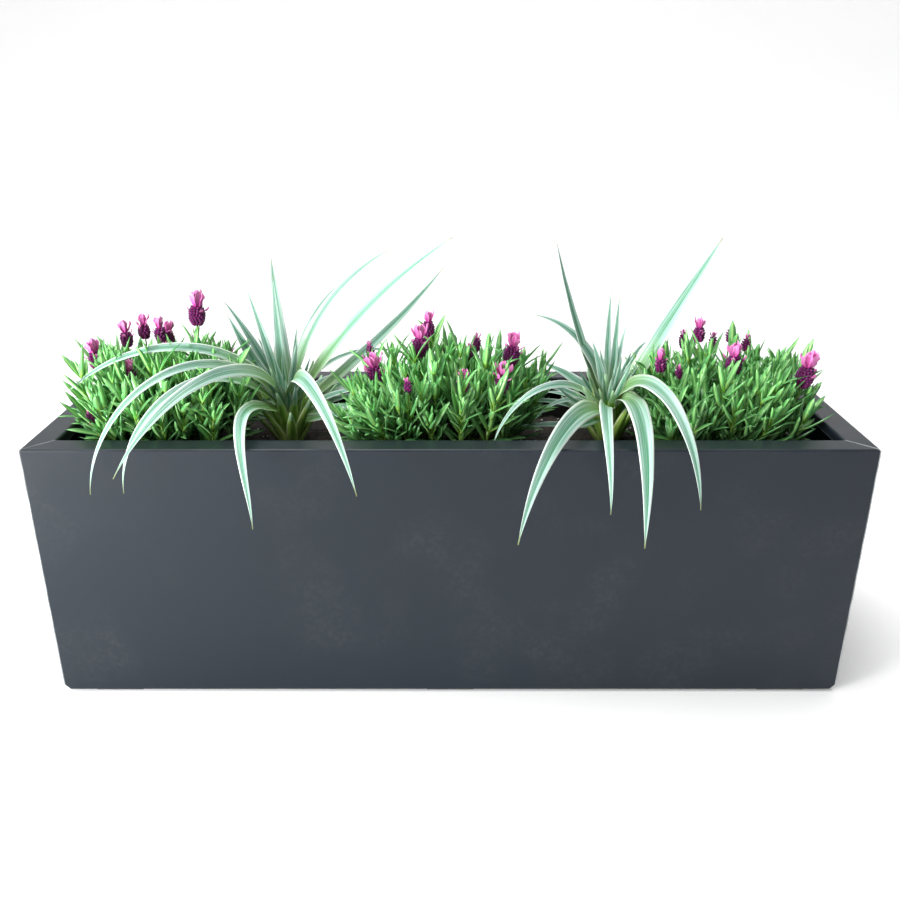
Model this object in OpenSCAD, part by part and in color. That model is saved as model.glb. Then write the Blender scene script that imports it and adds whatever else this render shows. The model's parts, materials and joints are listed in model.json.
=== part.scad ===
/* [Shell] */
// Outside length of the steel shell
shell_l = 1000; // [900:10:1200]
// Outside depth of the shell, front to back
shell_d = 305; // [300:5:360]
// Height of the rim above the floor
shell_h = 340; // [335:5:380]
// Thickness of the folded steel sheet
sheet_t = 2; // [1.5:0.5:2]
// Inside radius of every bend
bend_r = 1; // [0.5:0.5:1.5]
// Width of the flat rim, measured from the outer face
rim_w = 32; // [28:1:34]
// Height of the lip turned down inside the rim
lip_h = 12; // [8:1:18]
// Width of the foot flange turned in at the bottom
foot_flange_w = 25; // [22:1:30]
// Size of the clipped lower corners
corner_clip = 9; // [6:1:12]
// Half of the open seam where two panels meet, along the panel
mitre_gap = 0.8; // [0.4:0.1:1.2]

/* [Inside the shell] */
// Leg of the corner angles
angle_leg = 25; // [22:1:28]
// Height of the rails that carry the liner
rail_h = 10; // [8:1:14]
// Radius of the access hole for the drain plug
access_r = 22; // [20:1:24]

/* [Liner and reservoir] */
// Wall of the moulded liner
liner_wall = 3; // [2.5:0.5:4]
// Air left between the liner's rim and the lip
liner_gap = 2; // [1.5:0.5:4]
// Top of the liner above the floor
liner_top = 300; // [290:5:310]
// Depth of water under the platforms
water_h = 60; // [55:5:70]
// Thickness of the platform plates
plate_t = 3; // [2:0.5:4]
// Outside radius of a wick basket
basket_r = 42; // [36:1:46]
// Level of the potting soil above the floor
soil_top = 285; // [275:5:290]

/* [Filler and gauge] */
// Outside radius of the filler tube
filler_r = 20; // [18:1:20]
// Outside radius of the gauge tube
gauge_r = 12; // [10:1:12]
// Radius of the hinge pin of the filler cap
pin_r = 1.5; // [1.5:0.1:2]
// Running clearance round pins and rods
run_gap = 0.05; // [0.02:0.01:0.1]

/* [Plants] */
// Distance of the two rosettes from the middle
rosette_x = 215; // [190:5:230]
// Steps along each long leaf
leaf_steps = 8; // [7:1:10]

/* [Hidden] */
$fn = 48;

// shell
foot_t = 3;
bend_out = bend_r + sheet_t;
panel_h = shell_h - foot_t;
half_l = shell_l / 2;
half_d = shell_d / 2;
flange_z = foot_t + sheet_t;
base_z = flange_z + sheet_t;
rail_top = base_z + rail_h;
stud_r = 3;
stud_l = 10;
stud_levels = [60, 170, 280];
stud_in = 14;
nut_af = 10;
rivet_r = 2.4;
rivets = [
    for (s = [-1, 1], x = [-350, -150, 150, 350]) [x, s * (half_d - 14)],
    for (s = [-1, 1], y = [-40, 40]) [s * (half_l - 14), y]
];
base_drains = [for (x = [120, 280, 430], s = [-1, 1]) [s * x, 0]];
pad = [60, 18];

// liner
rim_l = shell_l - 2 * rim_w - 2 * liner_gap;
rim_d = shell_d - 2 * rim_w - 2 * liner_gap;
rim_step = 3;
tub_l = rim_l - 2 * rim_step;
tub_d = rim_d - 2 * rim_step;
tub_r = 20;
in_l = tub_l - 2 * liner_wall;
in_d = tub_d - 2 * liner_wall;
in_r = tub_r - liner_wall;
wall_y = tub_d / 2;
floor_z = rail_top + liner_wall;
plate_z = floor_z + water_h;
mat_z = plate_z + plate_t;
mat_t = 2;
basket_rim_t = 2.5;
soil_z = mat_z + basket_rim_t;
pitch = in_l / 3;
plate_l = pitch - 1;
leg_r = 10;
leg_at = [138, 90];

// filler, gauge, drain and overflow
filler_at = [405, in_d / 2 - filler_r - 6];
filler_wall = 2;
filler_top = liner_top + 12;
collar_r = filler_r + 5;
collar_top = filler_top + 2;
hinge_at = [filler_at[0] + collar_r + 5, filler_at[1], collar_top + 2];
gauge_at = [-filler_at[0], filler_at[1]];
gauge_wall = 2;
gauge_top = liner_top + 4;
rod_r = 2;
float_z = floor_z + 6;
float_l = 30;
tip_z = gauge_top + 16;
drain_at = [-350, 44];
plug_r = 12;
overflow_at = [-290, 66];

// lifting handles
grip_r = 3;
grip_half = 35;
grip_x = in_l / 2 - 8;
grip_z = liner_top - 4;
grip_bend = 9;
guide_r = 6;
guide_z = 190;
guide_top = liner_top - 13.5;

// Long leaves of a rosette: [heading, rise, length, droop, lateness, swing, width].
// Heading is the compass angle from +X; rise, droop and swing are degrees; the rest is mm.
leaves_left = [
    [110, 70, 210, 10, 1.2, -5, 18], [150, 85, 185, -5, 1.2, 0, 12], [30, 85, 190, 50, 1.6, -5, 10],
    [-5, 88, 270, 60, 1, 10, 9], [-2, 64, 320, 32, 0.9, 8, 11], [20, 35, 280, -15, 1.4, -10, 14],
    [25, 80, 210, 110, 0.8, -5, 6], [-75, 75, 345, 135, 0.8, 18, 17], [15, 10, 100, -20, 1, 25, 10],
    [20, 35, 190, 65, 1.2, 5, 8], [203, 78, 330, 120, 0.85, 0, 9], [228, 66, 385, 150, 1.1, -4, 9],
    [236, 50, 345, 140, 1.5, -5, 9], [253, 76, 358, 130, 0.8, -26, 17], [243, 30, 308, 121, 1.8, 60, 15],
    [145, 10, 110, -20, 1.2, -20, 10], [160, 70, 170, 20, 1.2, 5, 12], [175, 60, 150, -5, 1.2, 0, 15],
    [155, 75, 170, 5, 1.2, 0, 11], [135, 65, 130, 0, 1.2, 0, 11]
];
leaves_right = [
    [171, 67, 240, -10, 1.4, 0, 11], [95, 60, 170, 0, 1.2, -20, 9], [75, 88, 160, -15, 1.2, 15, 9],
    [55, 88, 120, 25, 1.6, -10, 9], [0, 64, 262, 4, 1, 5, 19], [40, 65, 120, 75, 1.2, 0, 12],
    [-76, 66, 325, 145, 1, 2, 19], [-84, 44, 335, 128, 1.2, -14, 23], [-108, 32, 285, 120, 1.8, 22, 15],
    [244, 28, 350, 90, 1.4, -2, 22], [222, 46, 255, 120, 1.6, -6, 10], [160, 50, 120, 40, 1.2, 0, 14],
    [170, 80, 180, 75, 1.6, 0, 15], [55, 80, 100, -25, 1.2, -15, 6], [165, 50, 70, -10, 1.2, 0, 10],
    [215, 20, 120, -20, 1, 15, 10], [235, 5, 120, 0, 1.2, -10, 10]
];
rosette_y = 24;
crown_h = 48;
leaf_root = [4, 36];
leaf_t = 3;
leaf_fold = 0.3;

// Lavender clumps: mounds of foliage as [x, y, radius, height of the centre].
mounds_left = [[-372, 0, 70, 335], [-325, -35, 60, 348], [-328, 40, 60, 350], [-392, -58, 48, 330]];
mounds_centre = [[-55, -10, 68, 345], [30, -20, 70, 345], [-8, 42, 62, 348], [72, 20, 52, 342]];
mounds_right = [[352, -10, 72, 342], [392, -42, 50, 335], [300, 22, 54, 345]];
// Flower heads as [x, y, height of the top, length of the head].
flowers_left = [
    [-450, -20, 436, 40], [-425, 30, 447, 35], [-405, 45, 453, 34], [-380, 35, 451, 34],
    [-376, 55, 441, 34], [-326, 30, 487, 46], [-340, 60, 421, 24], [-318, 50, 414, 20],
    [-286, 20, 415, 24], [-400, -40, 416, 33], [-440, -85, 367, 22], [-366, 10, 424, 20]
];
flowers_centre = [
    [-106, 20, 423, 24], [-98, -30, 423, 46], [-29, 40, 459, 36], [-39, 0, 451, 44],
    [36, 50, 426, 26], [25, 20, 421, 26], [82, 0, 441, 46], [67, -50, 416, 42],
    [17, -60, 409, 30], [-52, -80, 405, 20], [-9, 60, 407, 20]
];
flowers_right = [
    [267, -10, 421, 32], [290, -20, 403, 20], [310, 50, 430, 26], [327, 40, 450, 34],
    [352, 56, 425, 24], [372, 48, 437, 24], [392, 40, 427, 24], [360, -20, 433, 44],
    [444, -50, 429, 48]
];
head_l = 40;
stalk_r = 1.4;

// ---- shell -------------------------------------------------------------------------

// Quarter ring of sheet about a bend's centre, from angle a.
module bend(a) {
    rotate(a) intersection() {
        difference() {
            circle(r = bend_out);
            circle(r = bend_r);
        }
        square(bend_out);
    }
}

// Section of a folded panel: web on the left, rim and lip on top, foot flange below.
module panel_section() {
    translate([0, bend_out]) square([sheet_t, panel_h - 2 * bend_out]);
    translate([bend_out, panel_h - sheet_t]) square([rim_w - 2 * bend_out, sheet_t]);
    translate([rim_w - sheet_t, panel_h - lip_h]) square([sheet_t, lip_h - bend_out]);
    translate([bend_out, 0]) square([foot_flange_w - bend_out, sheet_t]);
    translate([bend_out, bend_out]) bend(180);
    translate([bend_out, panel_h - bend_out]) bend(90);
    translate([rim_w - bend_out, panel_h - bend_out]) bend(0);
}

// A folded panel of the given length along +X, outer face on y = 0, mitred at both ends.
module folded_panel(len) {
    reach = rim_w + 8;
    difference() {
        intersection() {
            rotate([90, 0, 90]) linear_extrude(len) panel_section();
            linear_extrude(panel_h)
                polygon([[mitre_gap, 0], [len - mitre_gap, 0],
                         [len - reach - mitre_gap, reach], [reach + mitre_gap, reach]]);
        }
        for (x = [0, len]) translate([x, -1, 0])
            rotate([-90, 0, 0]) rotate(45)
                cube([corner_clip * sqrt(2), corner_clip * sqrt(2), 2 * corner_clip + 2], center = true);
    }
}

module rivet_holes() {
    for (p = rivets) translate([p[0], p[1], 0])
        cylinder(r = rivet_r + run_gap, h = base_z + 1);
}

module front_panel() {
    color("#3c424b") difference() {
        translate([-half_l, -half_d, foot_t]) folded_panel(shell_l);
        rivet_holes();
    }
}

module back_panel() {
    color("#3c424b") difference() {
        translate([half_l, half_d, foot_t]) rotate(180) folded_panel(shell_l);
        rivet_holes();
        translate([drain_at[0], half_d, drain_at[1]]) rotate([90, 0, 0])
            cylinder(r = access_r, h = 20, center = true);
    }
}

module left_end_panel() {
    color("#3c424b") difference() {
        translate([-half_l, half_d, foot_t]) rotate(-90) folded_panel(shell_d);
        rivet_holes();
    }
}

module right_end_panel() {
    color("#3c424b") difference() {
        translate([half_l, -half_d, foot_t]) rotate(90) folded_panel(shell_d);
        rivet_holes();
    }
}

module base_panel() {
    edge = bend_out + 0.3;
    color("#33383f") difference() {
        translate([-half_l + edge, -half_d + edge, flange_z])
            cube([shell_l - 2 * edge, shell_d - 2 * edge, sheet_t]);
        rivet_holes();
        for (p = base_drains) translate([p[0], p[1], flange_z - 1]) cylinder(r = 7, h = sheet_t + 2);
    }
}

// Runs its children at the four inner corners, turned so that +X and +Y point inwards.
module at_corners() {
    for (sx = [-1, 1], sy = [-1, 1])
        translate([sx * half_l, sy * half_d, 0])
            mirror([sx > 0 ? 1 : 0, 0, 0]) mirror([0, sy > 0 ? 1 : 0, 0]) children();
}

// Runs its children at each stud of one corner, with +Z pointing inwards from the web.
module at_studs() {
    for (z = stud_levels) {
        translate([sheet_t + stud_in, sheet_t, z]) rotate([-90, 0, 0]) children();
        translate([sheet_t, sheet_t + stud_in, z]) rotate([0, 90, 0]) children();
    }
}

module corner_angles() {
    color("#8d9298") at_corners() difference() {
        translate([sheet_t, sheet_t, base_z]) linear_extrude(stud_levels[2] + 40 - base_z)
            difference() {
                square(angle_leg);
                translate([sheet_t, sheet_t]) square(angle_leg);
            }
        at_studs() translate([0, 0, -1]) cylinder(r = stud_r + 0.3, h = sheet_t + 2);
    }
}

module mitre_cleats() {
    far = 60;
    near = bend_out + 0.2;
    inner = rim_w - sheet_t - 0.5;
    color("#8d9298") at_corners()
        translate([0, 0, shell_h - 2 * sheet_t]) linear_extrude(sheet_t)
            polygon([[near, near], [far, near], [far, inner], [inner, inner], [inner, far], [near, far]]);
}

module panel_studs() {
    color("#b9bdc1") at_corners() at_studs() cylinder(r = stud_r, h = stud_l);
}

module stud_nuts() {
    color("#c4c8cc") at_corners() at_studs() translate([0, 0, sheet_t]) difference() {
        cylinder(r = nut_af / sqrt(3), h = 5, $fn = 6);
        translate([0, 0, -1]) cylinder(r = stud_r + run_gap, h = 7);
    }
}

module base_rivets() {
    color("#a8adb2") for (p = rivets) translate([p[0], p[1], 0]) rotate_extrude()
        polygon([[0, foot_t - 1.2], [3.4, foot_t - 1.2], [4.4, foot_t - 0.4], [4.4, foot_t],
                 [rivet_r, foot_t], [rivet_r, base_z], [3.6, base_z], [3.6, base_z + 1.4],
                 [0, base_z + 1.8]]);
}

module foot_pads() {
    color("#1b1c1e") for (x = [-430, 0, 430], s = [-1, 1])
        translate([x - pad[0] / 2, s * (half_d - foot_flange_w / 2 - 1.5) - pad[1] / 2, 0])
            cube([pad[0], pad[1], foot_t]);
}

module centre_foot() {
    color("#1b1c1e") cylinder(r = 30, h = flange_z);
}

module liner_rails() {
    wall = 1.5;
    hat = 15;
    foot = 25;
    color("#9aa0a5") for (y = [-65, 65]) translate([-440, y, base_z])
        rotate([90, 0, 90]) linear_extrude(880) difference() {
            union() {
                translate([-hat, 0]) square([2 * hat, rail_h]);
                translate([-foot, 0]) square([2 * foot, wall]);
            }
            translate([-hat + wall, -1]) square([2 * (hat - wall), rail_h - wall + 1]);
        }
}

module access_grommet() {
    lip = 2.5;
    color("#1d1e20") translate([drain_at[0], half_d - sheet_t - lip, drain_at[1]]) rotate([-90, 0, 0])
        difference() {
            union() {
                cylinder(r = access_r + 4, h = lip);
                cylinder(r = access_r - 0.05, h = 2 * lip + sheet_t);
                translate([0, 0, lip + sheet_t]) cylinder(r = access_r + 4, h = lip);
            }
            translate([0, 0, -1]) cylinder(r = access_r - 3, h = 2 * lip + sheet_t + 2);
        }
}

// ---- liner and reservoir -----------------------------------------------------------

// Flat outline of the liner, with round corners.
module round_rect(l, d, r) {
    square([l - 2 * r, d], center = true);
    square([l, d - 2 * r], center = true);
    for (sx = [-1, 1], sy = [-1, 1]) translate([sx * (l / 2 - r), sy * (d / 2 - r)]) circle(r = r);
}

// A cylinder along +Y that starts at y, centred on a point of the back wall.
module rear_bar(at, r, y, len, sides = 48) {
    translate([at[0], y, at[1]]) rotate([-90, 0, 0]) cylinder(r = r, h = len, $fn = sides);
}

module liner_tub() {
    color("#202224") difference() {
        union() {
            translate([0, 0, rail_top]) linear_extrude(liner_top - rail_top) round_rect(tub_l, tub_d, tub_r);
            translate([0, 0, liner_top - 6]) linear_extrude(6) round_rect(rim_l, rim_d, tub_r + rim_step);
        }
        translate([0, 0, floor_z]) linear_extrude(liner_top) round_rect(in_l, in_d, in_r);
        rear_bar(drain_at, plug_r + 5.05, wall_y - 10, 20);
        rear_bar(overflow_at, 6.05, wall_y - 10, 20);
    }
}

// A platform plate centred at x; tube_at and tube_r place the hole for a tube, if it has one.
module platform(x, tube_at = [0, 0], tube_r = 0) {
    holes = [for (a = [0:45:315]) [x + 85 * cos(a), 62 * sin(a)]];
    color("#2b2e31") translate([0, 0, plate_z]) linear_extrude(plate_t) difference() {
        intersection() {
            translate([x - plate_l / 2, -in_d / 2]) square([plate_l, in_d]);
            round_rect(in_l - 1, in_d - 1, in_r);
        }
        translate([x, 0]) circle(r = basket_r + 1);
        for (p = holes) translate(p) circle(r = 3);
        if (tube_r > 0) translate(tube_at) circle(r = tube_r + 0.3);
    }
}

module platform_left() { platform(-pitch, gauge_at, gauge_r); }
module platform_centre() { platform(0); }
module platform_right() { platform(pitch, filler_at, filler_r); }

module platform_legs() {
    color("#2b2e31")
        for (k = [-1, 0, 1], sx = [-1, 1], sy = [-1, 1])
            translate([k * pitch + sx * leg_at[0], sy * leg_at[1], floor_z]) difference() {
                cylinder(r = leg_r, h = water_h);
                translate([0, 0, -1]) cylinder(r = leg_r - 2, h = water_h + 2);
            }
}

// A slotted basket that hangs through its plate into the water.
module wick_basket(x) {
    wall = 2.5;
    color("#34373a") translate([x, 0, floor_z + 2]) difference() {
        union() {
            cylinder(r = basket_r, h = mat_z - floor_z - 2);
            translate([0, 0, mat_z - floor_z - 2]) cylinder(r = basket_r + 6, h = basket_rim_t);
        }
        translate([0, 0, wall]) cylinder(r = basket_r - wall, h = water_h + 20);
        for (a = [0:30:150]) rotate(a) translate([0, 0, 27])
            cube([2 * basket_r + 10, 4, 34], center = true);
    }
}

module wick_basket_left() { wick_basket(-pitch); }
module wick_basket_centre() { wick_basket(0); }
module wick_basket_right() { wick_basket(pitch); }

// Where the tubes and the handle guides pass down through the mat and the soil.
module riser_cuts(gap, z, h) {
    translate([filler_at[0], filler_at[1], z]) cylinder(r = filler_r + gap, h = h);
    translate([gauge_at[0], gauge_at[1], z]) cylinder(r = gauge_r + gap, h = h);
}

module geotextile_mat() {
    color("#6d6f70") difference() {
        translate([0, 0, mat_z]) linear_extrude(mat_t) round_rect(in_l - 2, in_d - 2, in_r - 1);
        for (k = [-1, 0, 1]) translate([k * pitch, 0, mat_z - 1]) cylinder(r = basket_r + 6.5, h = 5);
        riser_cuts(0.5, mat_z - 1, 5);
    }
}

module potting_soil() {
    color("#2a201a") difference() {
        union() {
            translate([0, 0, soil_z]) linear_extrude(soil_top - soil_z) round_rect(in_l - 0.6, in_d - 0.6, in_r);
            for (k = [-1, 0, 1]) translate([k * pitch, 0, floor_z + 5])
                cylinder(r = basket_r - 3, h = soil_z - floor_z);
        }
        riser_cuts(0.3, soil_z - 1, soil_top);
        for (sx = [-1, 1], sy = [-1, 1]) {
            translate([sx * grip_x, sy * grip_half, guide_z - 0.3]) cylinder(r = guide_r + 0.4, h = soil_top);
            translate([sx * grip_x - (sx < 0 ? in_l : 0), sy * grip_half - 4, guide_z - 0.3])
                cube([in_l, 8, soil_top]);
        }
    }
}

// ---- filler, gauge, overflow and drain ---------------------------------------------

// A riser tube that stands on the liner's floor, notched so that water can pass.
module riser(at, r, wall, top) {
    translate([at[0], at[1], floor_z]) difference() {
        cylinder(r = r, h = top - floor_z);
        translate([0, 0, -1]) cylinder(r = r - wall, h = top);
        for (a = [0, 90]) rotate(a) cube([2 * r + 4, 8, 24], center = true);
    }
}

module filler_tube() {
    color("#26282b") riser(filler_at, filler_r, filler_wall, filler_top);
}

module filler_collar() {
    lug_t = 3;
    lug_y = 5.3;
    color("#26282b") difference() {
        union() {
            translate([filler_at[0], filler_at[1], filler_top - 8]) cylinder(r = collar_r, h = 10);
            for (s = [-1, 1]) translate([0, hinge_at[1] + s * (lug_y + lug_t / 2), 0]) {
                translate([hinge_at[0] - 12, -lug_t / 2, filler_top - 8]) cube([16, lug_t, 9]);
                translate([hinge_at[0] - 4, -lug_t / 2, filler_top - 8]) cube([8, lug_t, 12]);
                translate(concat([hinge_at[0]], [0, hinge_at[2]])) rotate([90, 0, 0])
                    cylinder(r = 4, h = lug_t, center = true);
            }
        }
        translate([filler_at[0], filler_at[1], filler_top - 9]) cylinder(r = filler_r + run_gap, h = 20);
        translate(hinge_at) rotate([90, 0, 0]) cylinder(r = pin_r + 0.02, h = 30, center = true);
    }
}

module filler_cap() {
    color("#2f3236") difference() {
        union() {
            translate([filler_at[0], filler_at[1], collar_top + 0.1]) cylinder(r = collar_r, h = 3);
            translate([filler_at[0], filler_at[1], collar_top - 1]) cylinder(r = filler_r - 3, h = 2);
            translate([filler_at[0] + collar_r - 5, filler_at[1] - 5, collar_top + 0.1]) cube([10, 10, 3]);
            translate([filler_at[0] - collar_r - 4, filler_at[1] - 5, collar_top + 0.1]) cube([10, 10, 3]);
            translate(hinge_at) rotate([90, 0, 0]) cylinder(r = 4, h = 10, center = true);
        }
        translate(hinge_at) rotate([90, 0, 0]) cylinder(r = pin_r + run_gap, h = 20, center = true);
    }
}

module filler_cap_pin() {
    color("#c4c8cc") translate(hinge_at) rotate([90, 0, 0]) cylinder(r = pin_r, h = 17.6, center = true);
}

module gauge_tube() {
    color("#3a3d40") riser(gauge_at, gauge_r, gauge_wall, gauge_top);
}

module gauge_collar() {
    color("#26282b") translate([gauge_at[0], gauge_at[1], gauge_top - 6]) difference() {
        cylinder(r = gauge_r + 3, h = 9);
        translate([0, 0, -1]) cylinder(r = gauge_r + run_gap, h = 7);
        cylinder(r = rod_r + 0.1, h = 20);
    }
}

module float() {
    color("#d9d6c8") translate([gauge_at[0], gauge_at[1], float_z])
        cylinder(r = gauge_r - gauge_wall - 0.8, h = float_l);
}

module float_rod() {
    color("#c9c9c4") translate([gauge_at[0], gauge_at[1], float_z + float_l])
        cylinder(r = rod_r, h = tip_z - float_z - float_l);
}

module indicator_tip() {
    color("#b5322b") translate([gauge_at[0], gauge_at[1], tip_z]) rotate_extrude()
        polygon([[0, 0], [3, 0], [5, 2], [5, 7], [3, 9.5], [0, 10]]);
}

module overflow_spout() {
    color("#26282b") difference() {
        union() {
            rear_bar(overflow_at, 6, wall_y - liner_wall - 2, liner_wall + 5);
            rear_bar(overflow_at, 10, wall_y - liner_wall - 3.5, 2);
        }
        rear_bar(overflow_at, 4.5, wall_y - 20, 30);
    }
}

module overflow_nut() {
    color("#34373a") difference() {
        rear_bar(overflow_at, 9.8, wall_y, 2.5, 6);
        rear_bar(overflow_at, 6 + run_gap, wall_y - 1, 5);
    }
}

module overflow_gasket() {
    color("#1d1e20") difference() {
        rear_bar(overflow_at, 10, wall_y - liner_wall - 1.5, 1.5);
        rear_bar(overflow_at, 6 + run_gap, wall_y - 10, 20);
    }
}

module drain_bush() {
    barrel = plug_r + 5;
    color("#26282b") difference() {
        union() {
            rear_bar(drain_at, barrel, wall_y - 23, 24);
            rear_bar(drain_at, barrel + 3, wall_y + 0.8, 2.2);
        }
        rear_bar(drain_at, plug_r + 0.1, wall_y - 30, 40);
        rear_bar(drain_at, plug_r + 3, wall_y - 1, 10);
    }
}

module drain_nut() {
    color("#34373a") difference() {
        rear_bar(drain_at, 21.5, wall_y - liner_wall - 6.5, 6.5, 6);
        rear_bar(drain_at, plug_r + 5 + run_gap, wall_y - 20, 30);
    }
}

module drain_gasket() {
    color("#1d1e20") difference() {
        rear_bar(drain_at, plug_r + 8, wall_y, 0.8);
        rear_bar(drain_at, plug_r + 5 + run_gap, wall_y - 1, 4);
    }
}

module drain_plug() {
    color("#2f3236") difference() {
        union() {
            rear_bar(drain_at, plug_r, wall_y - 21, 21);
            rear_bar(drain_at, plug_r + 2.7, wall_y, 2.8);
        }
        translate([drain_at[0] - 9, wall_y + 1, drain_at[1] - 1.5]) cube([18, 5, 3]);
    }
}

module plug_seal() {
    color("#1d1e20") difference() {
        rear_bar(drain_at, plug_r + 2.6, wall_y - 1, 1);
        rear_bar(drain_at, plug_r + run_gap, wall_y - 2, 4);
    }
}

// ---- lifting handles ---------------------------------------------------------------

module handle_guides() {
    bore = grip_r + 0.1;
    color("#26282b") for (sx = [-1, 1], sy = [-1, 1]) difference() {
        union() {
            translate([sx * grip_x, sy * grip_half, guide_z]) cylinder(r = guide_r, h = guide_top - guide_z);
            translate([sx * (in_l / 2 - 3.5) - 3.5, sy * grip_half - 3, guide_z])
                cube([7, 6, guide_top - guide_z]);
        }
        translate([sx * grip_x, sy * grip_half, guide_z + 3]) cylinder(r = bore, h = 200);
    }
}

// A round bar bent into a staple, its two legs down in the guides.
module liner_handle(sx) {
    leg_top = grip_z - grip_bend;
    color("#17181a") translate([sx * grip_x, 0, 0]) {
        for (sy = [-1, 1]) {
            translate([0, sy * grip_half, guide_z + 6]) cylinder(r = grip_r, h = leg_top - guide_z - 6);
            translate([0, sy * (grip_half - grip_bend), leg_top]) rotate([90, 0, sy > 0 ? 90 : -90])
                rotate_extrude(angle = 90) translate([grip_bend, 0]) circle(r = grip_r, $fn = 32);
        }
        translate([0, 0, grip_z]) rotate([90, 0, 0])
            cylinder(r = grip_r, h = 2 * (grip_half - grip_bend), center = true);
    }
}

module liner_handle_left() { liner_handle(-1); }
module liner_handle_right() { liner_handle(1); }

// ---- plants ------------------------------------------------------------------------

// Rounded mounds of foliage that stand on the soil.
module foliage(mounds) {
    color("#3f7f3a") intersection() {
        union() for (m = mounds) translate([m[0], m[1], m[3]]) sphere(r = m[2]);
        translate([-half_l, -half_d, soil_top]) cube([shell_l, shell_d, 300]);
    }
}

// Spiked flower heads with a flared tuft, each on a slender stalk from the middle of its clump.
module flowers(heads, middle) {
    color("#9c2f8e") for (f = heads) {
        s = f[3] / head_l;
        foot = [(f[0] + middle[0]) / 2, (f[1] + middle[1]) / 2, soil_top + 25];
        top = [f[0], f[1], f[2] - f[3]];
        rise = top - foot;
        translate(foot)
            rotate([0, acos(rise[2] / norm(rise)), atan2(rise[1], rise[0])])
                cylinder(r = stalk_r, h = norm(rise) + 2);
        translate(top) scale(s) rotate_extrude($fn = 24)
            polygon([[0, 0], [3, 0.5], [6.5, 8], [7, 15], [5.5, 22], [3.5, 25], [7.5, 38], [6, 40], [0, 33]]);
    }
}

module lavender_left_foliage() { foliage(mounds_left); }
module lavender_centre_foliage() { foliage(mounds_centre); }
module lavender_right_foliage() { foliage(mounds_right); }
module lavender_left_flowers() { flowers(flowers_left, [-360, 0]); }
module lavender_centre_flowers() { flowers(flowers_centre, [0, 0]); }
module lavender_right_flowers() { flowers(flowers_right, [345, 0]); }

// Steepness and heading of a leaf at s, the share of its length from the crown.
function leaf_rise(leaf, s) = leaf[1] - leaf[3] * pow(s, leaf[4]);
function leaf_heading(leaf, s) = leaf[0] + leaf[5] * s;
function leaf_dir(leaf, s) =
    let (e = leaf_rise(leaf, s), a = leaf_heading(leaf, s)) [cos(e) * cos(a), cos(e) * sin(a), sin(e)];

// Middle of the leaf at step i, summed along the leaf.
function leaf_point(leaf, i) = i == 0
    ? [leaf_root[0] * cos(leaf[0]), leaf_root[0] * sin(leaf[0]), leaf_root[1]]
    : leaf_point(leaf, i - 1) + leaf[2] / leaf_steps * leaf_dir(leaf, (i - 0.5) / leaf_steps);

// Half width at s: a narrow base, full width in the first half and a long taper.
function leaf_half(leaf, s) = leaf[6] / 2 * min(1, 0.6 + 1.6 * s) * max(0.08, 1 - pow(s, 2.4));

// One ring of four corners: a shallow gutter across the leaf.
function leaf_ring(leaf, i) =
    let (s = i / leaf_steps, e = leaf_rise(leaf, s), a = leaf_heading(leaf, s), m = leaf_point(leaf, i),
         w = leaf_half(leaf, s), side = [-sin(a), cos(a), 0],
         out = [-sin(e) * cos(a), -sin(e) * sin(a), cos(e)], fold = leaf_fold * w)
    [m + side * w + out * fold, m + out * leaf_t / 2, m - side * w + out * fold, m - out * leaf_t / 2];

module long_leaf(leaf) {
    last = 4 * leaf_steps;
    sides = [for (i = [0:leaf_steps - 1], k = [0:3])
        let (a = 4 * i + k, b = 4 * i + (k + 1) % 4) each [[a, b + 4, b], [a, a + 4, b + 4]]];
    caps = [[0, 1, 3], [1, 2, 3], [last, last + 3, last + 1], [last + 1, last + 3, last + 2]];
    polyhedron(points = [for (i = [0:leaf_steps]) each leaf_ring(leaf, i)], faces = concat(sides, caps));
}

// A crown of overlapping leaf bases with the long leaves springing from it.
module rosette(x, leaves) {
    color("#a9cbb4") translate([x, rosette_y, soil_top]) {
        hull() for (a = [0:45:315]) rotate(a) hull() {
            translate([5, 0, 0]) cylinder(r = 8, h = 8, $fn = 16);
            translate([9, 0, crown_h - 12]) cylinder(r = 11, h = 12, $fn = 16);
        }
        for (leaf = leaves) long_leaf(leaf);
    }
}

module astelia_left() { rosette(-rosette_x, leaves_left); }
module astelia_right() { rosette(rosette_x, leaves_right); }

front_panel();
back_panel();
left_end_panel();
right_end_panel();
base_panel();
corner_angles();
mitre_cleats();
panel_studs();
stud_nuts();
base_rivets();
foot_pads();
centre_foot();
liner_rails();
access_grommet();
liner_tub();
platform_left();
platform_centre();
platform_right();
platform_legs();
wick_basket_left();
wick_basket_centre();
wick_basket_right();
geotextile_mat();
potting_soil();
filler_tube();
filler_collar();
filler_cap();
filler_cap_pin();
gauge_tube();
gauge_collar();
float();
float_rod();
indicator_tip();
overflow_spout();
overflow_nut();
overflow_gasket();
drain_bush();
drain_nut();
drain_gasket();
drain_plug();
plug_seal();
handle_guides();
liner_handle_left();
liner_handle_right();
lavender_left_foliage();
lavender_left_flowers();
lavender_centre_foliage();
lavender_centre_flowers();
lavender_right_foliage();
lavender_right_flowers();
astelia_left();
astelia_right();
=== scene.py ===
"""Self watering planter: finishes, plants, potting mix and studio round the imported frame."""
import json
import logging
import math
from dataclasses import dataclass, field, replace
from enum import Enum

import bmesh
import bpy
import numpy as np
from mathutils import Euler, Matrix, Vector, noise


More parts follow.
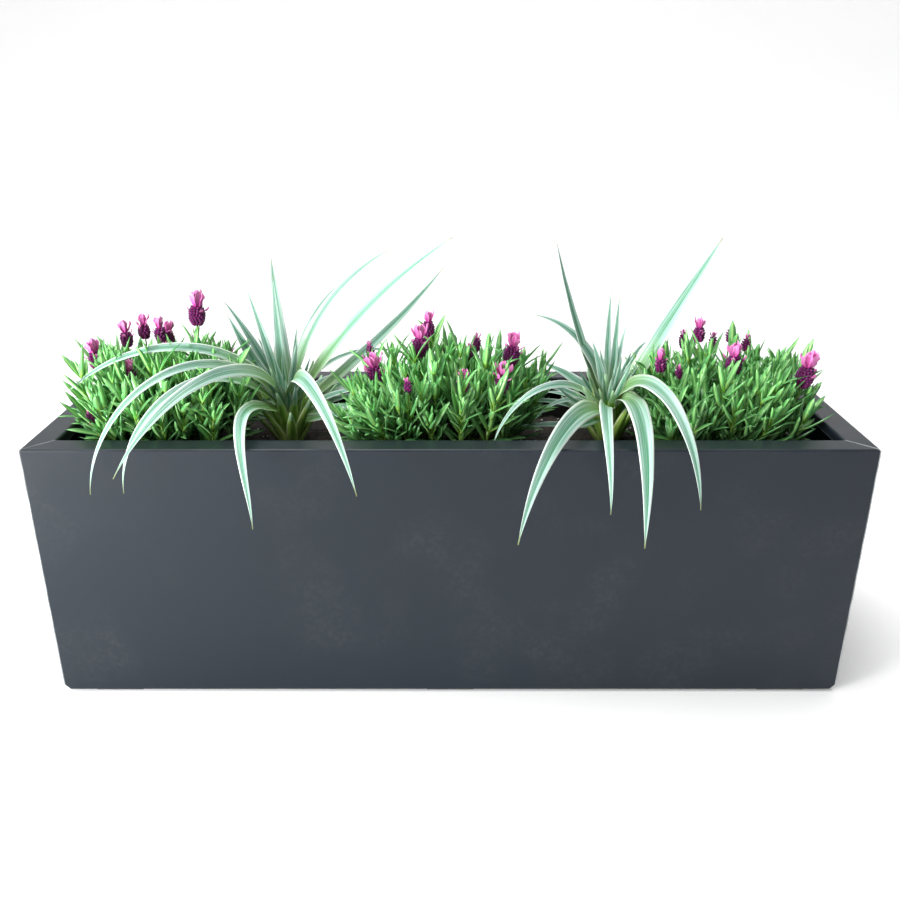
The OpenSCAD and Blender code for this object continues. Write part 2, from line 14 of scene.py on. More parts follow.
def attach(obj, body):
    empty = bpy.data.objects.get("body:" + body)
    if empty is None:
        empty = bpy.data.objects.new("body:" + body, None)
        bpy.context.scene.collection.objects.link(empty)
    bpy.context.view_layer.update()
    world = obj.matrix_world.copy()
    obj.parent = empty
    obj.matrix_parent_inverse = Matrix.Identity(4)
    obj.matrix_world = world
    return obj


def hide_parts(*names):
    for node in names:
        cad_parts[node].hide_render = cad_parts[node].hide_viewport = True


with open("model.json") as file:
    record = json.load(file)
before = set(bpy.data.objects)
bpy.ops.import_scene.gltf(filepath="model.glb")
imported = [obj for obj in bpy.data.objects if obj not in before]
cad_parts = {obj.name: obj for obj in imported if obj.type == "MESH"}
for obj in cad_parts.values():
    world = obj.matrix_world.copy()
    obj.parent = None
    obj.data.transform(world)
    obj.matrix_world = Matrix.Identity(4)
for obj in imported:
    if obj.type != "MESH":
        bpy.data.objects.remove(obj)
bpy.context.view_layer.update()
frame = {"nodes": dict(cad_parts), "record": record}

log = logging.getLogger("planter")

Colour = tuple[float, float, float]
Place = tuple[float, float, float]

MM = 0.001
SOIL_TOP = 285 * MM
ROSETTE_X, ROSETTE_Y = 215 * MM, 24 * MM
# Where the fixed parts round the plants stand, in metres.
RISER_X, RISER_Y = 0.405, 0.0865
RIM_CLEAR = 0.352
WALL_X, WALL_Y, WALL_TOP = 0.4575, 0.1105, 0.3445
HANDLE_X, HANDLE_HALF_Y = 0.4425, 0.043
GAUGE_CLEAR, GAUGE_TOP = 0.016, 0.380
CAP_X, CAP_Y, CAP_TOP = (0.372, 0.462), (0.058, 0.115), 0.370
BLADE_MARKS = "blade"


class Side(Enum):
    """Where along the trough a plant stands."""

    LEFT = "left"
    CENTRE = "centre"
    RIGHT = "right"


# ---- small mathematics ----------------------------------------------------------------


def unit(v: np.ndarray) -> np.ndarray:
    """Rows of v scaled to length one."""
    return v / np.maximum(np.linalg.norm(v, axis=-1, keepdims=True), 1e-12)


def bezier(a: np.ndarray, b: np.ndarray, c: np.ndarray, steps: int) -> np.ndarray:
    """Points on a bent stem.

    Args:
        a: Its root.
        b: The point it bends towards.
        c: Its tip.
        steps: How many points to give.

    Returns:
        The points, root first.
    """
    s = np.linspace(0, 1, steps)[:, None]
    return (1 - s) ** 2 * a + 2 * s * (1 - s) * b + s**2 * c


def stem_frame(line: np.ndarray) -> tuple[np.ndarray, np.ndarray, np.ndarray]:
    """Direction, side and upper face along a line of points.

    Args:
        line: Points of shape (..., steps, 3).

    Returns:
        Three arrays of unit vectors of the same shape.
    """
    along = unit(np.gradient(line, axis=-2))
    up = np.where(np.abs(along[..., 2:3]) > 0.95, np.array([0.0, 1.0, 0.0]), np.array([0.0, 0.0, 1.0]))
    side = unit(np.cross(up, along))
    return along, side, np.cross(along, side)


# ---- meshes ---------------------------------------------------------------------------


@dataclass
class MeshPile:
    """Closed shapes gathered into one mesh, with three numbers at each point for its material."""

    points: list[np.ndarray] = field(default_factory=list)
    faces: list[tuple[int, ...]] = field(default_factory=list)
    marks: list[np.ndarray] = field(default_factory=list)
    count: int = 0

    def add(self, points: np.ndarray, faces: list[tuple[int, ...]], marks: np.ndarray) -> None:
        """Adds one shape.

        Args:
            points: Its corners, (n, 3).
            faces: Its faces, as corner numbers.
            marks: Across, along and seed at each corner, (n, 3).
        """
        at = self.count
        self.points.append(points)
        self.marks.append(marks)
        self.faces.extend(tuple(at + i for i in f) for f in faces)
        self.count += len(points)

    def sweep(self, centre: np.ndarray, side: np.ndarray, out: np.ndarray, across: np.ndarray,
              height: np.ndarray, caps: list[tuple[int, ...]], seed: float) -> None:
        """Adds a closed shape swept along a line.

        Args:
            centre: The line, (steps, 3).
            side: Sideways unit vectors, (steps, 3).
            out: Upper face unit vectors, (steps, 3).
            across: Sideways place of each ring point in metres, (steps, ring).
            height: Upward place of each ring point in metres, (steps, ring).
            caps: Faces of an end ring, as ring numbers.
            seed: A number from 0 to 1 that sets this shape's shade.
        """
        steps, ring = across.shape
        points = centre[:, None] + side[:, None] * across[..., None] + out[:, None] * height[..., None]
        widest = np.maximum(np.abs(across).max(axis=1, keepdims=True), 1e-9)
        along = np.linspace(0, 1, steps)[:, None].repeat(ring, axis=1)
        marks = np.stack([0.5 + 0.5 * across / widest, along, np.full_like(along, seed)], axis=-1)
        faces = []
        for a in range(0, (steps - 1) * ring, ring):
            b = a + ring
            for k in range(ring):
                n = (k + 1) % ring
                faces.append((a + k, b + k, b + n, a + n))
        last = (steps - 1) * ring
        for cap in caps:
            faces.append(cap)
            faces.append(tuple(last + k for k in reversed(cap)))
        self.add(points.reshape(-1, 3), faces, marks.reshape(-1, 3))

    def tube(self, line: np.ndarray, radius: np.ndarray, seed: float, sides: int = 8) -> None:
        """Adds a round stem along a line.

        Args:
            line: Its middle, (steps, 3).
            radius: Its radius at each point, (steps,).
            seed: A number from 0 to 1 that sets its shade.
            sides: How many sides it has.
        """
        _, side, out = stem_frame(line)
        turn = math.pi - np.arange(sides) * math.tau / sides
        across = radius[:, None] * np.cos(turn)[None]
        height = radius[:, None] * np.sin(turn)[None]
        self.sweep(line, side, out, across, height, [tuple(range(sides))], seed)

    def lump(self, place: np.ndarray, axes: np.ndarray, seed: float, rings: int = 5, sides: int = 7) -> None:
        """Adds a rounded lump.

        Args:
            place: Its middle.
            axes: Three rows, its half axes in metres.
            seed: A number from 0 to 1 that sets its shade.
            rings: Rings of points between its ends.
            sides: Points in each ring.
        """
        lean = np.linspace(0, math.pi, rings + 2)[1:-1]
        turn = np.arange(sides) * math.tau / sides
        flat, high = np.sin(lean)[:, None], np.cos(lean)[:, None].repeat(sides, axis=1)
        ball = np.stack([flat * np.cos(turn)[None], flat * np.sin(turn)[None], high], axis=-1).reshape(-1, 3)
        ball = np.concatenate([[[0, 0, 1.0]], ball, [[0, 0, -1.0]]])
        faces: list[tuple[int, ...]] = []
        for k in range(sides):
            n = (k + 1) % sides
            faces.append((0, 1 + k, 1 + n))
            end = 1 + (rings - 1) * sides
            faces.append((end + n, end + k, 1 + rings * sides))
            for i in range(rings - 1):
                a, b = 1 + i * sides, 1 + (i + 1) * sides
                faces.append((a + k, b + k, b + n, a + n))
        marks = np.stack([ball[:, 0] * 0.5 + 0.5, 0.5 - ball[:, 2] * 0.5, np.full(len(ball), seed)], axis=-1)
        if np.linalg.det(axes) < 0:
            faces = [tuple(reversed(f)) for f in faces]
        self.add(place + ball @ axes, faces, marks)

    def build(self, name: str) -> bpy.types.Object:
        """Makes the mesh object.

        Args:
            name: The piece's name.

        Returns:
            The new object, smooth shaded and linked to the scene.
        """
        mesh = bpy.data.meshes.new(name)
        mesh.from_pydata(np.concatenate(self.points).tolist(), [], self.faces)
        marks = mesh.attributes.new(BLADE_MARKS, "FLOAT_VECTOR", "POINT")
        marks.data.foreach_set("vector", np.concatenate(self.marks).astype(np.float32).ravel())
        mesh.shade_smooth()
        mesh.validate()
        piece = bpy.data.objects.new(name, mesh)
        bpy.context.scene.collection.objects.link(piece)
        return piece


# ---- shader helpers -------------------------------------------------------------------


class ShaderSheet:
    """A material or group node tree, with short calls to place and join its nodes."""

    def __init__(self, tree: bpy.types.NodeTree) -> None:
        """Takes the tree to work on."""
        self.tree = tree

    def feed(self, node: bpy.types.Node, inputs: dict) -> None:
        """Links or sets a node's inputs, by name or number."""
        for key, value in inputs.items():
            if isinstance(value, bpy.types.NodeSocket):
                self.tree.links.new(value, node.inputs[key])
            else:
                node.inputs[key].default_value = value

    def node(self, kind: str, inputs: dict | None = None, **settings: object) -> bpy.types.Node:
        """Places a node.

        Args:
            kind: Its Blender type name.
            inputs: Values or sockets for its inputs, by name or number.
            **settings: Values for its own properties.

        Returns:
            The new node.
        """
        made = self.tree.nodes.new(kind)
        for key, value in settings.items():
            setattr(made, key, value)
        self.feed(made, inputs or {})
        return made

    def math(self, operation: str, a: object, b: object = 0.0, c: float = 0.0,
             clamp: bool = False) -> bpy.types.NodeSocket:
        """One sum on two or three values or sockets."""
        made = self.node("ShaderNodeMath", {0: a, 1: b, 2: c}, operation=operation, use_clamp=clamp)
        return made.outputs[0]

    def ramp(self, value: bpy.types.NodeSocket, stops: list[tuple[float, float]]) -> bpy.types.NodeSocket:
        """A value bent through stops.

        Args:
            value: What goes in.
            stops: Pairs of where and how much, from 0 to 1.

        Returns:
            The bent value.
        """
        made = self.node("ShaderNodeValToRGB", {0: value})
        ramp = made.color_ramp
        while len(ramp.elements) < len(stops):
            ramp.elements.new(0.5)
        for element, (at, level) in zip(ramp.elements, stops):
            element.position = at
            element.color = (level, level, level, 1)
        return made.outputs[0]

    def tint(self, amount: object, a: object, b: object, blend: str = "MIX") -> bpy.types.NodeSocket:
        """Two colours mixed.

        Args:
            amount: How much of the second, a number or a socket.
            a: The first colour or socket.
            b: The second colour or socket.
            blend: Blender's name for the way they mix.

        Returns:
            The mixed colour.
        """
        colours = {k: c if isinstance(c, bpy.types.NodeSocket) else (*c, 1) for k, c in ((6, a), (7, b))}
        made = self.node("ShaderNodeMix", {0: amount, **colours}, data_type="RGBA", blend_type=blend)
        return made.outputs[2]

    def place(self, scale: tuple[float, float, float] = (1, 1, 1)) -> bpy.types.NodeSocket:
        """Object coordinates, stretched by scale."""
        source = self.node("ShaderNodeTexCoord").outputs["Object"]
        return self.node("ShaderNodeMapping", {"Vector": source, "Scale": scale}).outputs[0]

    def grain(self, size: float, detail: float = 3.0, roughness: float = 0.5,
              stretch: tuple[float, float, float] = (1, 1, 1)) -> bpy.types.NodeSocket:
        """Smooth noise.

        Args:
            size: The size of its blotches in metres.
            detail: How many finer layers it has.
            roughness: How strong the finer layers are.
            stretch: Scale of the coordinates along each axis.

        Returns:
            Its value, about 0 to 1.
        """
        wanted = {"Vector": self.place(stretch), "Scale": 1 / size, "Detail": detail, "Roughness": roughness}
        return self.node("ShaderNodeTexNoise", wanted).outputs[0]

    def group(self, tree: bpy.types.NodeTree, inputs: dict) -> bpy.types.Node:
        """Places a node group with its own input values."""
        return self.node("ShaderNodeGroup", inputs, node_tree=tree)


def new_group(name: str, inputs: dict[str, float],
              outputs: tuple[str, ...]) -> tuple[ShaderSheet, dict]:
    """Starts a shader node group.

    Args:
        name: Its name.
        inputs: Number inputs with their defaults.
        outputs: Output names; each gives a number.

    Returns:
        The sheet to draw on, and {"in": group input node, "out": group output node, "tree": the group}.
    """
    tree = bpy.data.node_groups.new(name, "ShaderNodeTree")
    for key, value in inputs.items():
        socket = tree.interface.new_socket(name=key, in_out="INPUT", socket_type="NodeSocketFloat")
        socket.default_value = value
    for key in outputs:
        tree.interface.new_socket(name=key, in_out="OUTPUT", socket_type="NodeSocketFloat")
    sheet = ShaderSheet(tree)
    ends = {"in": sheet.node("NodeGroupInput"), "out": sheet.node("NodeGroupOutput"), "tree": tree}
    return sheet, ends


def edge_wear_and_highlight_group() -> bpy.types.NodeTree:
    """A mask of outer edges, broken up by noise: rubbed edges, which the powder coat also uses for a painted
    highlight along its bends.

    Returns:
        The node group.
    """
    sheet, ends = new_group("edge_wear_and_highlight", {"Radius": 0.0015, "Break Up": 0.5}, ("Mask",))
    bevel = sheet.node("ShaderNodeBevel", {"Radius": ends["in"].outputs["Radius"]}, samples=6)
    normal = sheet.node("ShaderNodeNewGeometry").outputs["Normal"]
    dot = sheet.node("ShaderNodeVectorMath", {0: bevel.outputs[0], 1: normal}, operation="DOT_PRODUCT")
    bent = sheet.math("SUBTRACT", 1.0, dot.outputs["Value"])
    edge = sheet.math("MULTIPLY", bent, 6.0, clamp=True)
    patch = sheet.ramp(sheet.grain(0.03, 4.0), [(0.35, 0.0), (0.6, 1.0)])
    kept = sheet.math("SUBTRACT", 1.0, sheet.math("MULTIPLY", patch, ends["in"].outputs["Break Up"]))
    sheet.tree.links.new(sheet.math("MULTIPLY", edge, kept), ends["out"].inputs["Mask"])
    return ends["tree"]


def dust_group() -> bpy.types.NodeTree:
    """A mask of faint dry marks and dust in soft patches.

    Returns:
        The node group.
    """
    sheet, ends = new_group("dust", {"Patch Size": 0.09, "Amount": 0.5}, ("Mask",))
    scale = sheet.math("DIVIDE", 1.0, ends["in"].outputs["Patch Size"])
    wide = sheet.node("ShaderNodeTexNoise", {"Vector": sheet.place(), "Scale": scale, "Detail": 5.0})
    soft = sheet.ramp(wide.outputs[0], [(0.5, 0.0), (0.78, 1.0)])
    fine = sheet.ramp(sheet.grain(0.006, 3.0), [(0.42, 0.2), (0.7, 1.0)])
    both = sheet.math("MULTIPLY", soft, fine)
    amount = sheet.math("MULTIPLY", both, ends["in"].outputs["Amount"], clamp=True)
    sheet.tree.links.new(amount, ends["out"].inputs["Mask"])
    return ends["tree"]


def peel_group() -> bpy.types.NodeTree:
    """Height of a sprayed or moulded skin: orange peel under a finer tooth.

    Returns:
        The node group.
    """
    sheet, ends = new_group("skin", {"Size": 0.0012, "Tooth": 0.3}, ("Height",))
    scale = sheet.math("DIVIDE", 1.0, ends["in"].outputs["Size"])
    peel = sheet.node("ShaderNodeTexNoise", {"Vector": sheet.place(), "Scale": scale, "Detail": 1.0})
    fine = sheet.node("ShaderNodeTexNoise", {
        "Vector": sheet.place(), "Scale": sheet.math("MULTIPLY", scale, 3.7), "Detail": 2.0})
    toothed = sheet.math("MULTIPLY", fine.outputs[0], ends["in"].outputs["Tooth"])
    sheet.tree.links.new(sheet.math("ADD", peel.outputs[0], toothed), ends["out"].inputs["Height"])
    return ends["tree"]


def leaf_lines_group() -> bpy.types.NodeTree:
    """Fine lines along a leaf, and where a point lies across and along it.

    Returns:
        The node group.
    """
    sheet, ends = new_group(
        "leaf_lines", {"Lines": 26.0, "Wander": 0.5},
        ("Lines", "Off Middle", "Along", "Seed"))
    marks = sheet.node("ShaderNodeAttribute", attribute_name=BLADE_MARKS).outputs["Vector"]
    split = sheet.node("ShaderNodeSeparateXYZ", {0: marks})
    across, along, seed = split.outputs
    off = sheet.math("ABSOLUTE", sheet.math("MULTIPLY_ADD", across, 2.0, -1.0))
    bent = sheet.node("ShaderNodeCombineXYZ", {
        0: sheet.math("MULTIPLY", across, ends["in"].outputs["Lines"]),
        1: sheet.math("MULTIPLY", along, ends["in"].outputs["Wander"]),
        2: sheet.math("MULTIPLY", seed, 37.0)})
    lines = sheet.node("ShaderNodeTexNoise", {"Vector": bent.outputs[0], "Scale": 1.0, "Detail": 2.0})
    for name, socket in (("Lines", lines.outputs[0]), ("Off Middle", off), ("Along", along), ("Seed", seed)):
        sheet.tree.links.new(socket, ends["out"].inputs[name])
    return ends["tree"]


@dataclass(frozen=True)
class Effects:
    """The shader node groups that several finishes share."""

    edge_wear_and_highlight: bpy.types.NodeTree
    dust: bpy.types.NodeTree
    skin: bpy.types.NodeTree
    leaf_lines: bpy.types.NodeTree

    @staticmethod
    def make() -> "Effects":
        """Builds each group once."""
        return Effects(edge_wear_and_highlight_group(), dust_group(), peel_group(), leaf_lines_group())


class PaintSheet(ShaderSheet):
    """A new material's node tree, with calls that feed its Principled node."""

    def __init__(self, name: str) -> None:
        """Starts a material.

        Args:
            name: The material's name.
        """
        self.material = bpy.data.materials.new(name)
        self.material.use_nodes = True
        super().__init__(self.material.node_tree)
        self.shader = self.tree.nodes["Principled BSDF"]

    def surface(self, inputs: dict[str, object]) -> None:
        """Sets or links the Principled node's inputs by name."""
        self.feed(self.shader, inputs)

    def relief(self, height: bpy.types.NodeSocket, strength: float, distance: float) -> None:
        """Raises the surface by a height: how strongly, and how far in metres."""
        bump = self.node("ShaderNodeBump", {"Height": height, "Strength": strength, "Distance": distance})
        self.surface({"Normal": bump.outputs[0]})


# ---- finishes -------------------------------------------------------------------------


def scaled(colour: Colour, by: float) -> Colour:
    """A colour made lighter or darker, held below white."""
    return tuple(min(1, c * by) for c in colour)


@dataclass(frozen=True)
class Finish:
    """What every finish shares: it starts a material and paints it."""

    def paint(self, sheet: PaintSheet, effects: Effects) -> None:
        """Joins the finish's nodes on the sheet.

        Args:
            sheet: The material's node sheet.
            effects: The shared node groups.
        """

    def make(self, name: str, effects: Effects) -> bpy.types.Material:
        """Builds the material.

        Args:
            name: Its name.
            effects: The shared groups.

        Returns:
            The material.
        """
        sheet = PaintSheet(name)
        self.paint(sheet, effects)
        return sheet.material


@dataclass(frozen=True)
class PowderCoat(Finish):
    """Satin powder coat on folded steel, with faint dry marks and bends lightened by rubbing and by a
    painted highlight.
    """

    colour: Colour
    worn_and_highlight: Colour
    roughness: float
    peel_mm: float = 1.1
    peel_strength: float = 0.06
    dust: float = 0.25
    specular: float = 0.5
    mark: Colour = (0.30, 0.31, 0.32)

    def paint(self, sheet: PaintSheet, effects: Effects) -> None:
        """Clouds, specks, dry marks, rubbed bends with a painted highlight, smears and orange peel.

        Args:
            sheet: The material's node sheet.
            effects: The shared node groups.
        """
        cloud = sheet.ramp(sheet.grain(0.35, 2.0), [(0.3, 0.0), (0.7, 1.0)])
        body = sheet.tint(cloud, scaled(self.colour, 0.93), scaled(self.colour, 1.08))
        speck = sheet.ramp(sheet.grain(0.0016, 1.0), [(0.3, 0.0), (0.75, 1.0)])
        body = sheet.tint(sheet.math("MULTIPLY", speck, 0.10), body, scaled(self.colour, 2.1))
        dust = sheet.group(effects.dust, {"Patch Size": 0.11, "Amount": self.dust}).outputs[0]
        body = sheet.tint(dust, body, self.mark)
        # Bends tinted towards the near-white edge colour: rubbed paint and a painted highlight along the
        # rim's bends.
        wear_and_highlight = sheet.group(effects.edge_wear_and_highlight, {"Radius": 0.0016, "Break Up": 0.55}).outputs[0]
        body = sheet.tint(sheet.math("MULTIPLY", wear_and_highlight, 0.75), body, self.worn_and_highlight)
        smear = sheet.math("MULTIPLY", sheet.grain(0.07, 5.0, 0.6, (1, 1, 0.35)), 0.16)
        smear = sheet.math("ADD", smear, self.roughness - 0.08)
        rough = sheet.math("ADD", smear, sheet.math("MULTIPLY", dust, 0.4))
        skin = sheet.group(effects.skin, {"Size": self.peel_mm * MM, "Tooth": 0.25}).outputs[0]
        sheet.surface({"Base Color": body, "Roughness": rough, "Specular IOR Level": self.specular})
        sheet.relief(skin, self.peel_strength, 0.0004)


@dataclass(frozen=True)
class Moulded(Finish):
    """Moulded plastic, foam or rubber, with a fine tooth and rubbed, lighter edges."""

    colour: Colour
    worn_and_highlight: Colour
    roughness: float
    tooth_mm: float = 0.6
    strength: float = 0.15
    dust: float = 0.2
    coat: float = 0.0
    mark: Colour = (0.34, 0.32, 0.29)

    def paint(self, sheet: PaintSheet, effects: Effects) -> None:
        """Clouds, dry marks, rubbed edges and the tooth of the mould.

        Args:
            sheet: The material's node sheet.
            effects: The shared node groups.
        """
        cloud = sheet.ramp(sheet.grain(0.02, 4.0), [(0.3, 0.0), (0.7, 1.0)])
        body = sheet.tint(cloud, scaled(self.colour, 0.88), scaled(self.colour, 1.14))
        dust = sheet.group(effects.dust, {"Patch Size": 0.04, "Amount": self.dust}).outputs[0]
        body = sheet.tint(dust, body, self.mark)
        wear_and_highlight = sheet.group(effects.edge_wear_and_highlight, {"Radius": 0.0008, "Break Up": 0.6}).outputs[0]
        body = sheet.tint(sheet.math("MULTIPLY", wear_and_highlight, 0.6), body, self.worn_and_highlight)
        cloudy = sheet.math("MULTIPLY", sheet.grain(0.012, 4.0), 0.2)
        rough = sheet.math("ADD", cloudy, self.roughness - 0.1)
        skin = sheet.group(effects.skin, {"Size": self.tooth_mm * MM, "Tooth": 0.6}).outputs[0]
        sheet.surface({"Base Color": body, "Roughness": rough, "Coat Weight": self.coat})
        sheet.relief(skin, self.strength, 0.0004)


@dataclass(frozen=True)
class BareSteel(Finish):
    """Zinc plated steel hardware with brushed lines and dull spots."""

    colour: Colour = (0.62, 0.63, 0.64)
    mark: Colour = (0.30, 0.28, 0.25)
    roughness: float = 0.34

    def paint(self, sheet: PaintSheet, effects: Effects) -> None:
        """Spangle, dull spots and brushed lines.

        Args:
            sheet: The material's node sheet.
            effects: The shared node groups.
        """
        spangle = sheet.node("ShaderNodeTexVoronoi", {"Vector": sheet.place(), "Scale": 420.0})
        body = sheet.tint(0.12, self.colour, spangle.outputs["Color"], "SOFT_LIGHT")
        dust = sheet.group(effects.dust, {"Patch Size": 0.02, "Amount": 0.5}).outputs[0]
        body = sheet.tint(dust, body, self.mark)
        lines = sheet.grain(0.0006, 2.0, 0.5, (1, 0.08, 1))
        rough = sheet.math("ADD", sheet.math("MULTIPLY", lines, 0.25), self.roughness - 0.12)
        sheet.surface({"Base Color": body, "Roughness": rough, "Metallic": 1.0})
        sheet.relief(lines, 0.12, 0.0002)


@dataclass(frozen=True)
class Crumb(Finish):
    """Damp potting mix: dark crumbs, fibres and lighter bark."""

    dark: Colour = (0.007, 0.005, 0.004)
    bark: Colour = (0.045, 0.030, 0.019)
    fibre: Colour = (0.16, 0.115, 0.07)

    def paint(self, sheet: PaintSheet, effects: Effects) -> None:
        """Crumbs of two colours with flecks of fibre.

        Args:
            sheet: The material's node sheet.
            effects: The shared node groups; not used here.
        """
        cells = sheet.node("ShaderNodeTexVoronoi", {"Vector": sheet.place(), "Scale": 190.0})
        shade = sheet.node("ShaderNodeSeparateColor", {0: cells.outputs["Color"]}).outputs[0]
        bark = sheet.ramp(shade, [(0.55, 0.0), (0.98, 1.0)])
        body = sheet.tint(bark, self.dark, self.bark)
        fleck = sheet.ramp(sheet.grain(0.0022, 2.0), [(0.66, 0.0), (0.74, 1.0)])
        body = sheet.tint(sheet.math("MULTIPLY", fleck, 0.5), body, self.fibre)
        rough = sheet.math("ADD", sheet.math("MULTIPLY", bark, 0.15), 0.78)
        fine = sheet.math("MULTIPLY", sheet.grain(0.003, 4.0), 0.6)
        sheet.surface({"Base Color": body, "Roughness": rough})
        sheet.relief(sheet.math("ADD", cells.outputs["Distance"], fine), 0.8, 0.003)


@dataclass(frozen=True)
class NeedleFelt(Finish):
    """Grey needle-punched geotextile with loose fibres."""

    colour: Colour = (0.16, 0.165, 0.165)

    def paint(self, sheet: PaintSheet, effects: Effects) -> None:
        """Fibres that run two ways.

        Args:
            sheet: The material's node sheet.
            effects: The shared node groups; not used here.
        """
        one = sheet.grain(0.002, 4.0, 0.7, (1, 0.12, 1))
        two = sheet.grain(0.002, 4.0, 0.7, (0.12, 1, 1))
        fibre = sheet.math("MAXIMUM", one, two)
        light = sheet.ramp(fibre, [(0.45, 0.0), (0.75, 1.0)])
        body = sheet.tint(light, scaled(self.colour, 0.6), scaled(self.colour, 1.7))
        rough = sheet.math("ADD", sheet.math("MULTIPLY", fibre, 0.1), 0.85)
        sheet.surface({"Base Color": body, "Roughness": rough, "Sheen Weight": 0.35})
        sheet.relief(fibre, 0.7, 0.001)


@dataclass(frozen=True)
class Leaf(Finish):
    """A leaf: a middle stripe, pale margins, fine lines, and its own colours at root and tip."""

    middle: Colour
    blade: Colour
    margin: Colour
    root: Colour
    tip: Colour
    lines: float = 26.0
    contrast: float = 0.5
    stripe: tuple[float, float] = (0.1, 0.5)
    edge: tuple[float, float] = (0.72, 0.95)
    root_end: float = 0.3
    tip_start: float = 0.93
    roughness: float = 0.45
    bump: float = 0.3
    seed_shift: float = 0.5
    coat: float = 0.0

    def paint(self, sheet: PaintSheet, effects: Effects) -> None:
        """Lines, stripe, margins, root and tip, then lightness by seed: on lavender a painted shade by
        height.

        Args:
            sheet: The material's node sheet.
            effects: The shared node groups.
        """
        lie = sheet.group(effects.leaf_lines, {"Lines": self.lines, "Wander": 2.2}).outputs
        off, along = lie["Off Middle"], lie["Along"]
        line = sheet.ramp(lie["Lines"], [(0.38, 0.0), (0.62, 1.0)])
        centred = sheet.ramp(off, [(self.stripe[0], 1.0), (self.stripe[1], 0.0)])
        striped = sheet.math("MULTIPLY", centred, 1.0 - self.contrast * 0.5)
        mixed = sheet.math("ADD", sheet.math("MULTIPLY", line, self.contrast), striped, clamp=True)
        body = sheet.tint(mixed, self.blade, self.middle)
        rim = sheet.ramp(off, [(self.edge[0], 0.0), (self.edge[1], 1.0)])
        body = sheet.tint(sheet.math("MULTIPLY", rim, 0.9), body, self.margin)
        body = sheet.tint(sheet.ramp(along, [(0.0, 1.0), (self.root_end, 0.0)]), body, self.root)
        tip_end = min(1.0, self.tip_start + 0.06)
        body = sheet.tint(sheet.ramp(along, [(self.tip_start, 0.0), (tip_end, 1.0)]), body, self.tip)
        shade = sheet.math("MULTIPLY_ADD", lie["Seed"], self.seed_shift, 1.0 - self.seed_shift * 0.5)
        hue = sheet.math("MULTIPLY_ADD", sheet.grain(0.012, 3.0), 0.024, 0.488)
        value = sheet.node("ShaderNodeHueSaturation", {"Color": body, "Value": shade, "Hue": hue})
        rough = sheet.math("ADD", sheet.math("MULTIPLY", line, 0.12), self.roughness)
        high = sheet.math("ADD", lie["Lines"], sheet.math("MULTIPLY", sheet.grain(0.002, 2.0), 0.3))
        sheet.surface({"Base Color": value.outputs[0], "Roughness": rough, "Coat Weight": self.coat})
        sheet.relief(high, self.bump, 0.0006)


@dataclass(frozen=True)
class Petal(Finish):
    """A flower part that runs from one colour at its root to another at its tip, with dark veins."""

    root: Colour
    tip: Colour
    vein: Colour
    sheen: float = 0.25
    veins: float = 9.0
    roughness: float = 0.5

    def paint(self, sheet: PaintSheet, effects: Effects) -> None:
        """Root to tip, veins, then each part's own shade.

        Args:
            sheet: The material's node sheet.
            effects: The shared node groups.
        """
        lie = sheet.group(effects.leaf_lines, {"Lines": self.veins, "Wander": 1.0}).outputs
        body = sheet.tint(sheet.ramp(lie["Along"], [(0.1, 0.0), (0.85, 1.0)]), self.root, self.tip)
        vein = sheet.ramp(lie["Lines"], [(0.5, 0.0), (0.68, 1.0)])
        body = sheet.tint(sheet.math("MULTIPLY", vein, 0.55), body, self.vein)
        shade = sheet.math("MULTIPLY_ADD", lie["Seed"], 0.5, 0.75)
        value = sheet.node("ShaderNodeHueSaturation", {"Color": body, "Value": shade})
        rough = sheet.math("ADD", sheet.math("MULTIPLY", vein, 0.15), self.roughness)
        sheet.surface({"Base Color": value.outputs[0], "Roughness": rough, "Sheen Weight": self.sheen})
        sheet.relief(lie["Lines"], 0.35, 0.0006)


FINISHES: dict[str, Finish] = {
    # The powder coat's near-white edge colour paints a highlight along the bends, over the rubbed paint.
    "powder_coat": PowderCoat((0.0088, 0.0135, 0.0198), (0.80, 0.84, 0.84), 0.32, dust=0.05, specular=0.28),
    "inner_steel": PowderCoat((0.10, 0.105, 0.11), (0.30, 0.31, 0.33), 0.55, dust=0.10),
    "zinc_hardware": BareSteel(),
    "rubber": Moulded((0.018, 0.018, 0.019), (0.08, 0.08, 0.08), 0.75, 0.9, 0.3, 0.12),
    "liner_plastic": Moulded((0.016, 0.017, 0.018), (0.07, 0.07, 0.072), 0.55, 0.9, 0.25, 0.05),
    "reservoir_plastic": Moulded((0.030, 0.033, 0.036), (0.12, 0.12, 0.125), 0.5, 0.7, 0.2, 0.06),
    "fitting_plastic": Moulded((0.020, 0.022, 0.024), (0.10, 0.10, 0.105), 0.38, 0.5, 0.15, 0.06),
    "float_foam": Moulded((0.72, 0.70, 0.62), (0.80, 0.79, 0.74), 0.8, 1.4, 0.5, 0.4),
    "rod_plastic": Moulded((0.75, 0.75, 0.72), (0.85, 0.85, 0.84), 0.28, 0.5, 0.06, 0.1, 0.3),
    "indicator_red": Moulded((0.55, 0.035, 0.025), (0.72, 0.18, 0.14), 0.26, 0.5, 0.06, 0.1, 0.5),
}

PERLITE = Moulded((0.70, 0.69, 0.65), (0.8, 0.8, 0.78), 0.85, 0.8, 0.6, 0.6)
SILVER_LEAF = Leaf(
    middle=(0.055, 0.235, 0.120), blade=(0.43, 0.63, 0.565), margin=(0.76, 0.83, 0.78),
    root=(0.24, 0.40, 0.05), tip=(0.24, 0.27, 0.06), lines=22.0, contrast=0.74,
    stripe=(0.02, 0.44), edge=(0.70, 0.94), root_end=0.46, tip_start=0.95,
    roughness=0.36, bump=0.7, seed_shift=0.34, coat=0.15)
CLASPING_LEAF = Leaf(
    middle=(0.12, 0.32, 0.03), blade=(0.40, 0.62, 0.12), margin=(0.68, 0.80, 0.42),
    root=(0.36, 0.46, 0.12), tip=(0.36, 0.58, 0.34), lines=18.0, tip_start=0.75,
    root_end=0.4, roughness=0.45, bump=0.6, seed_shift=0.6)
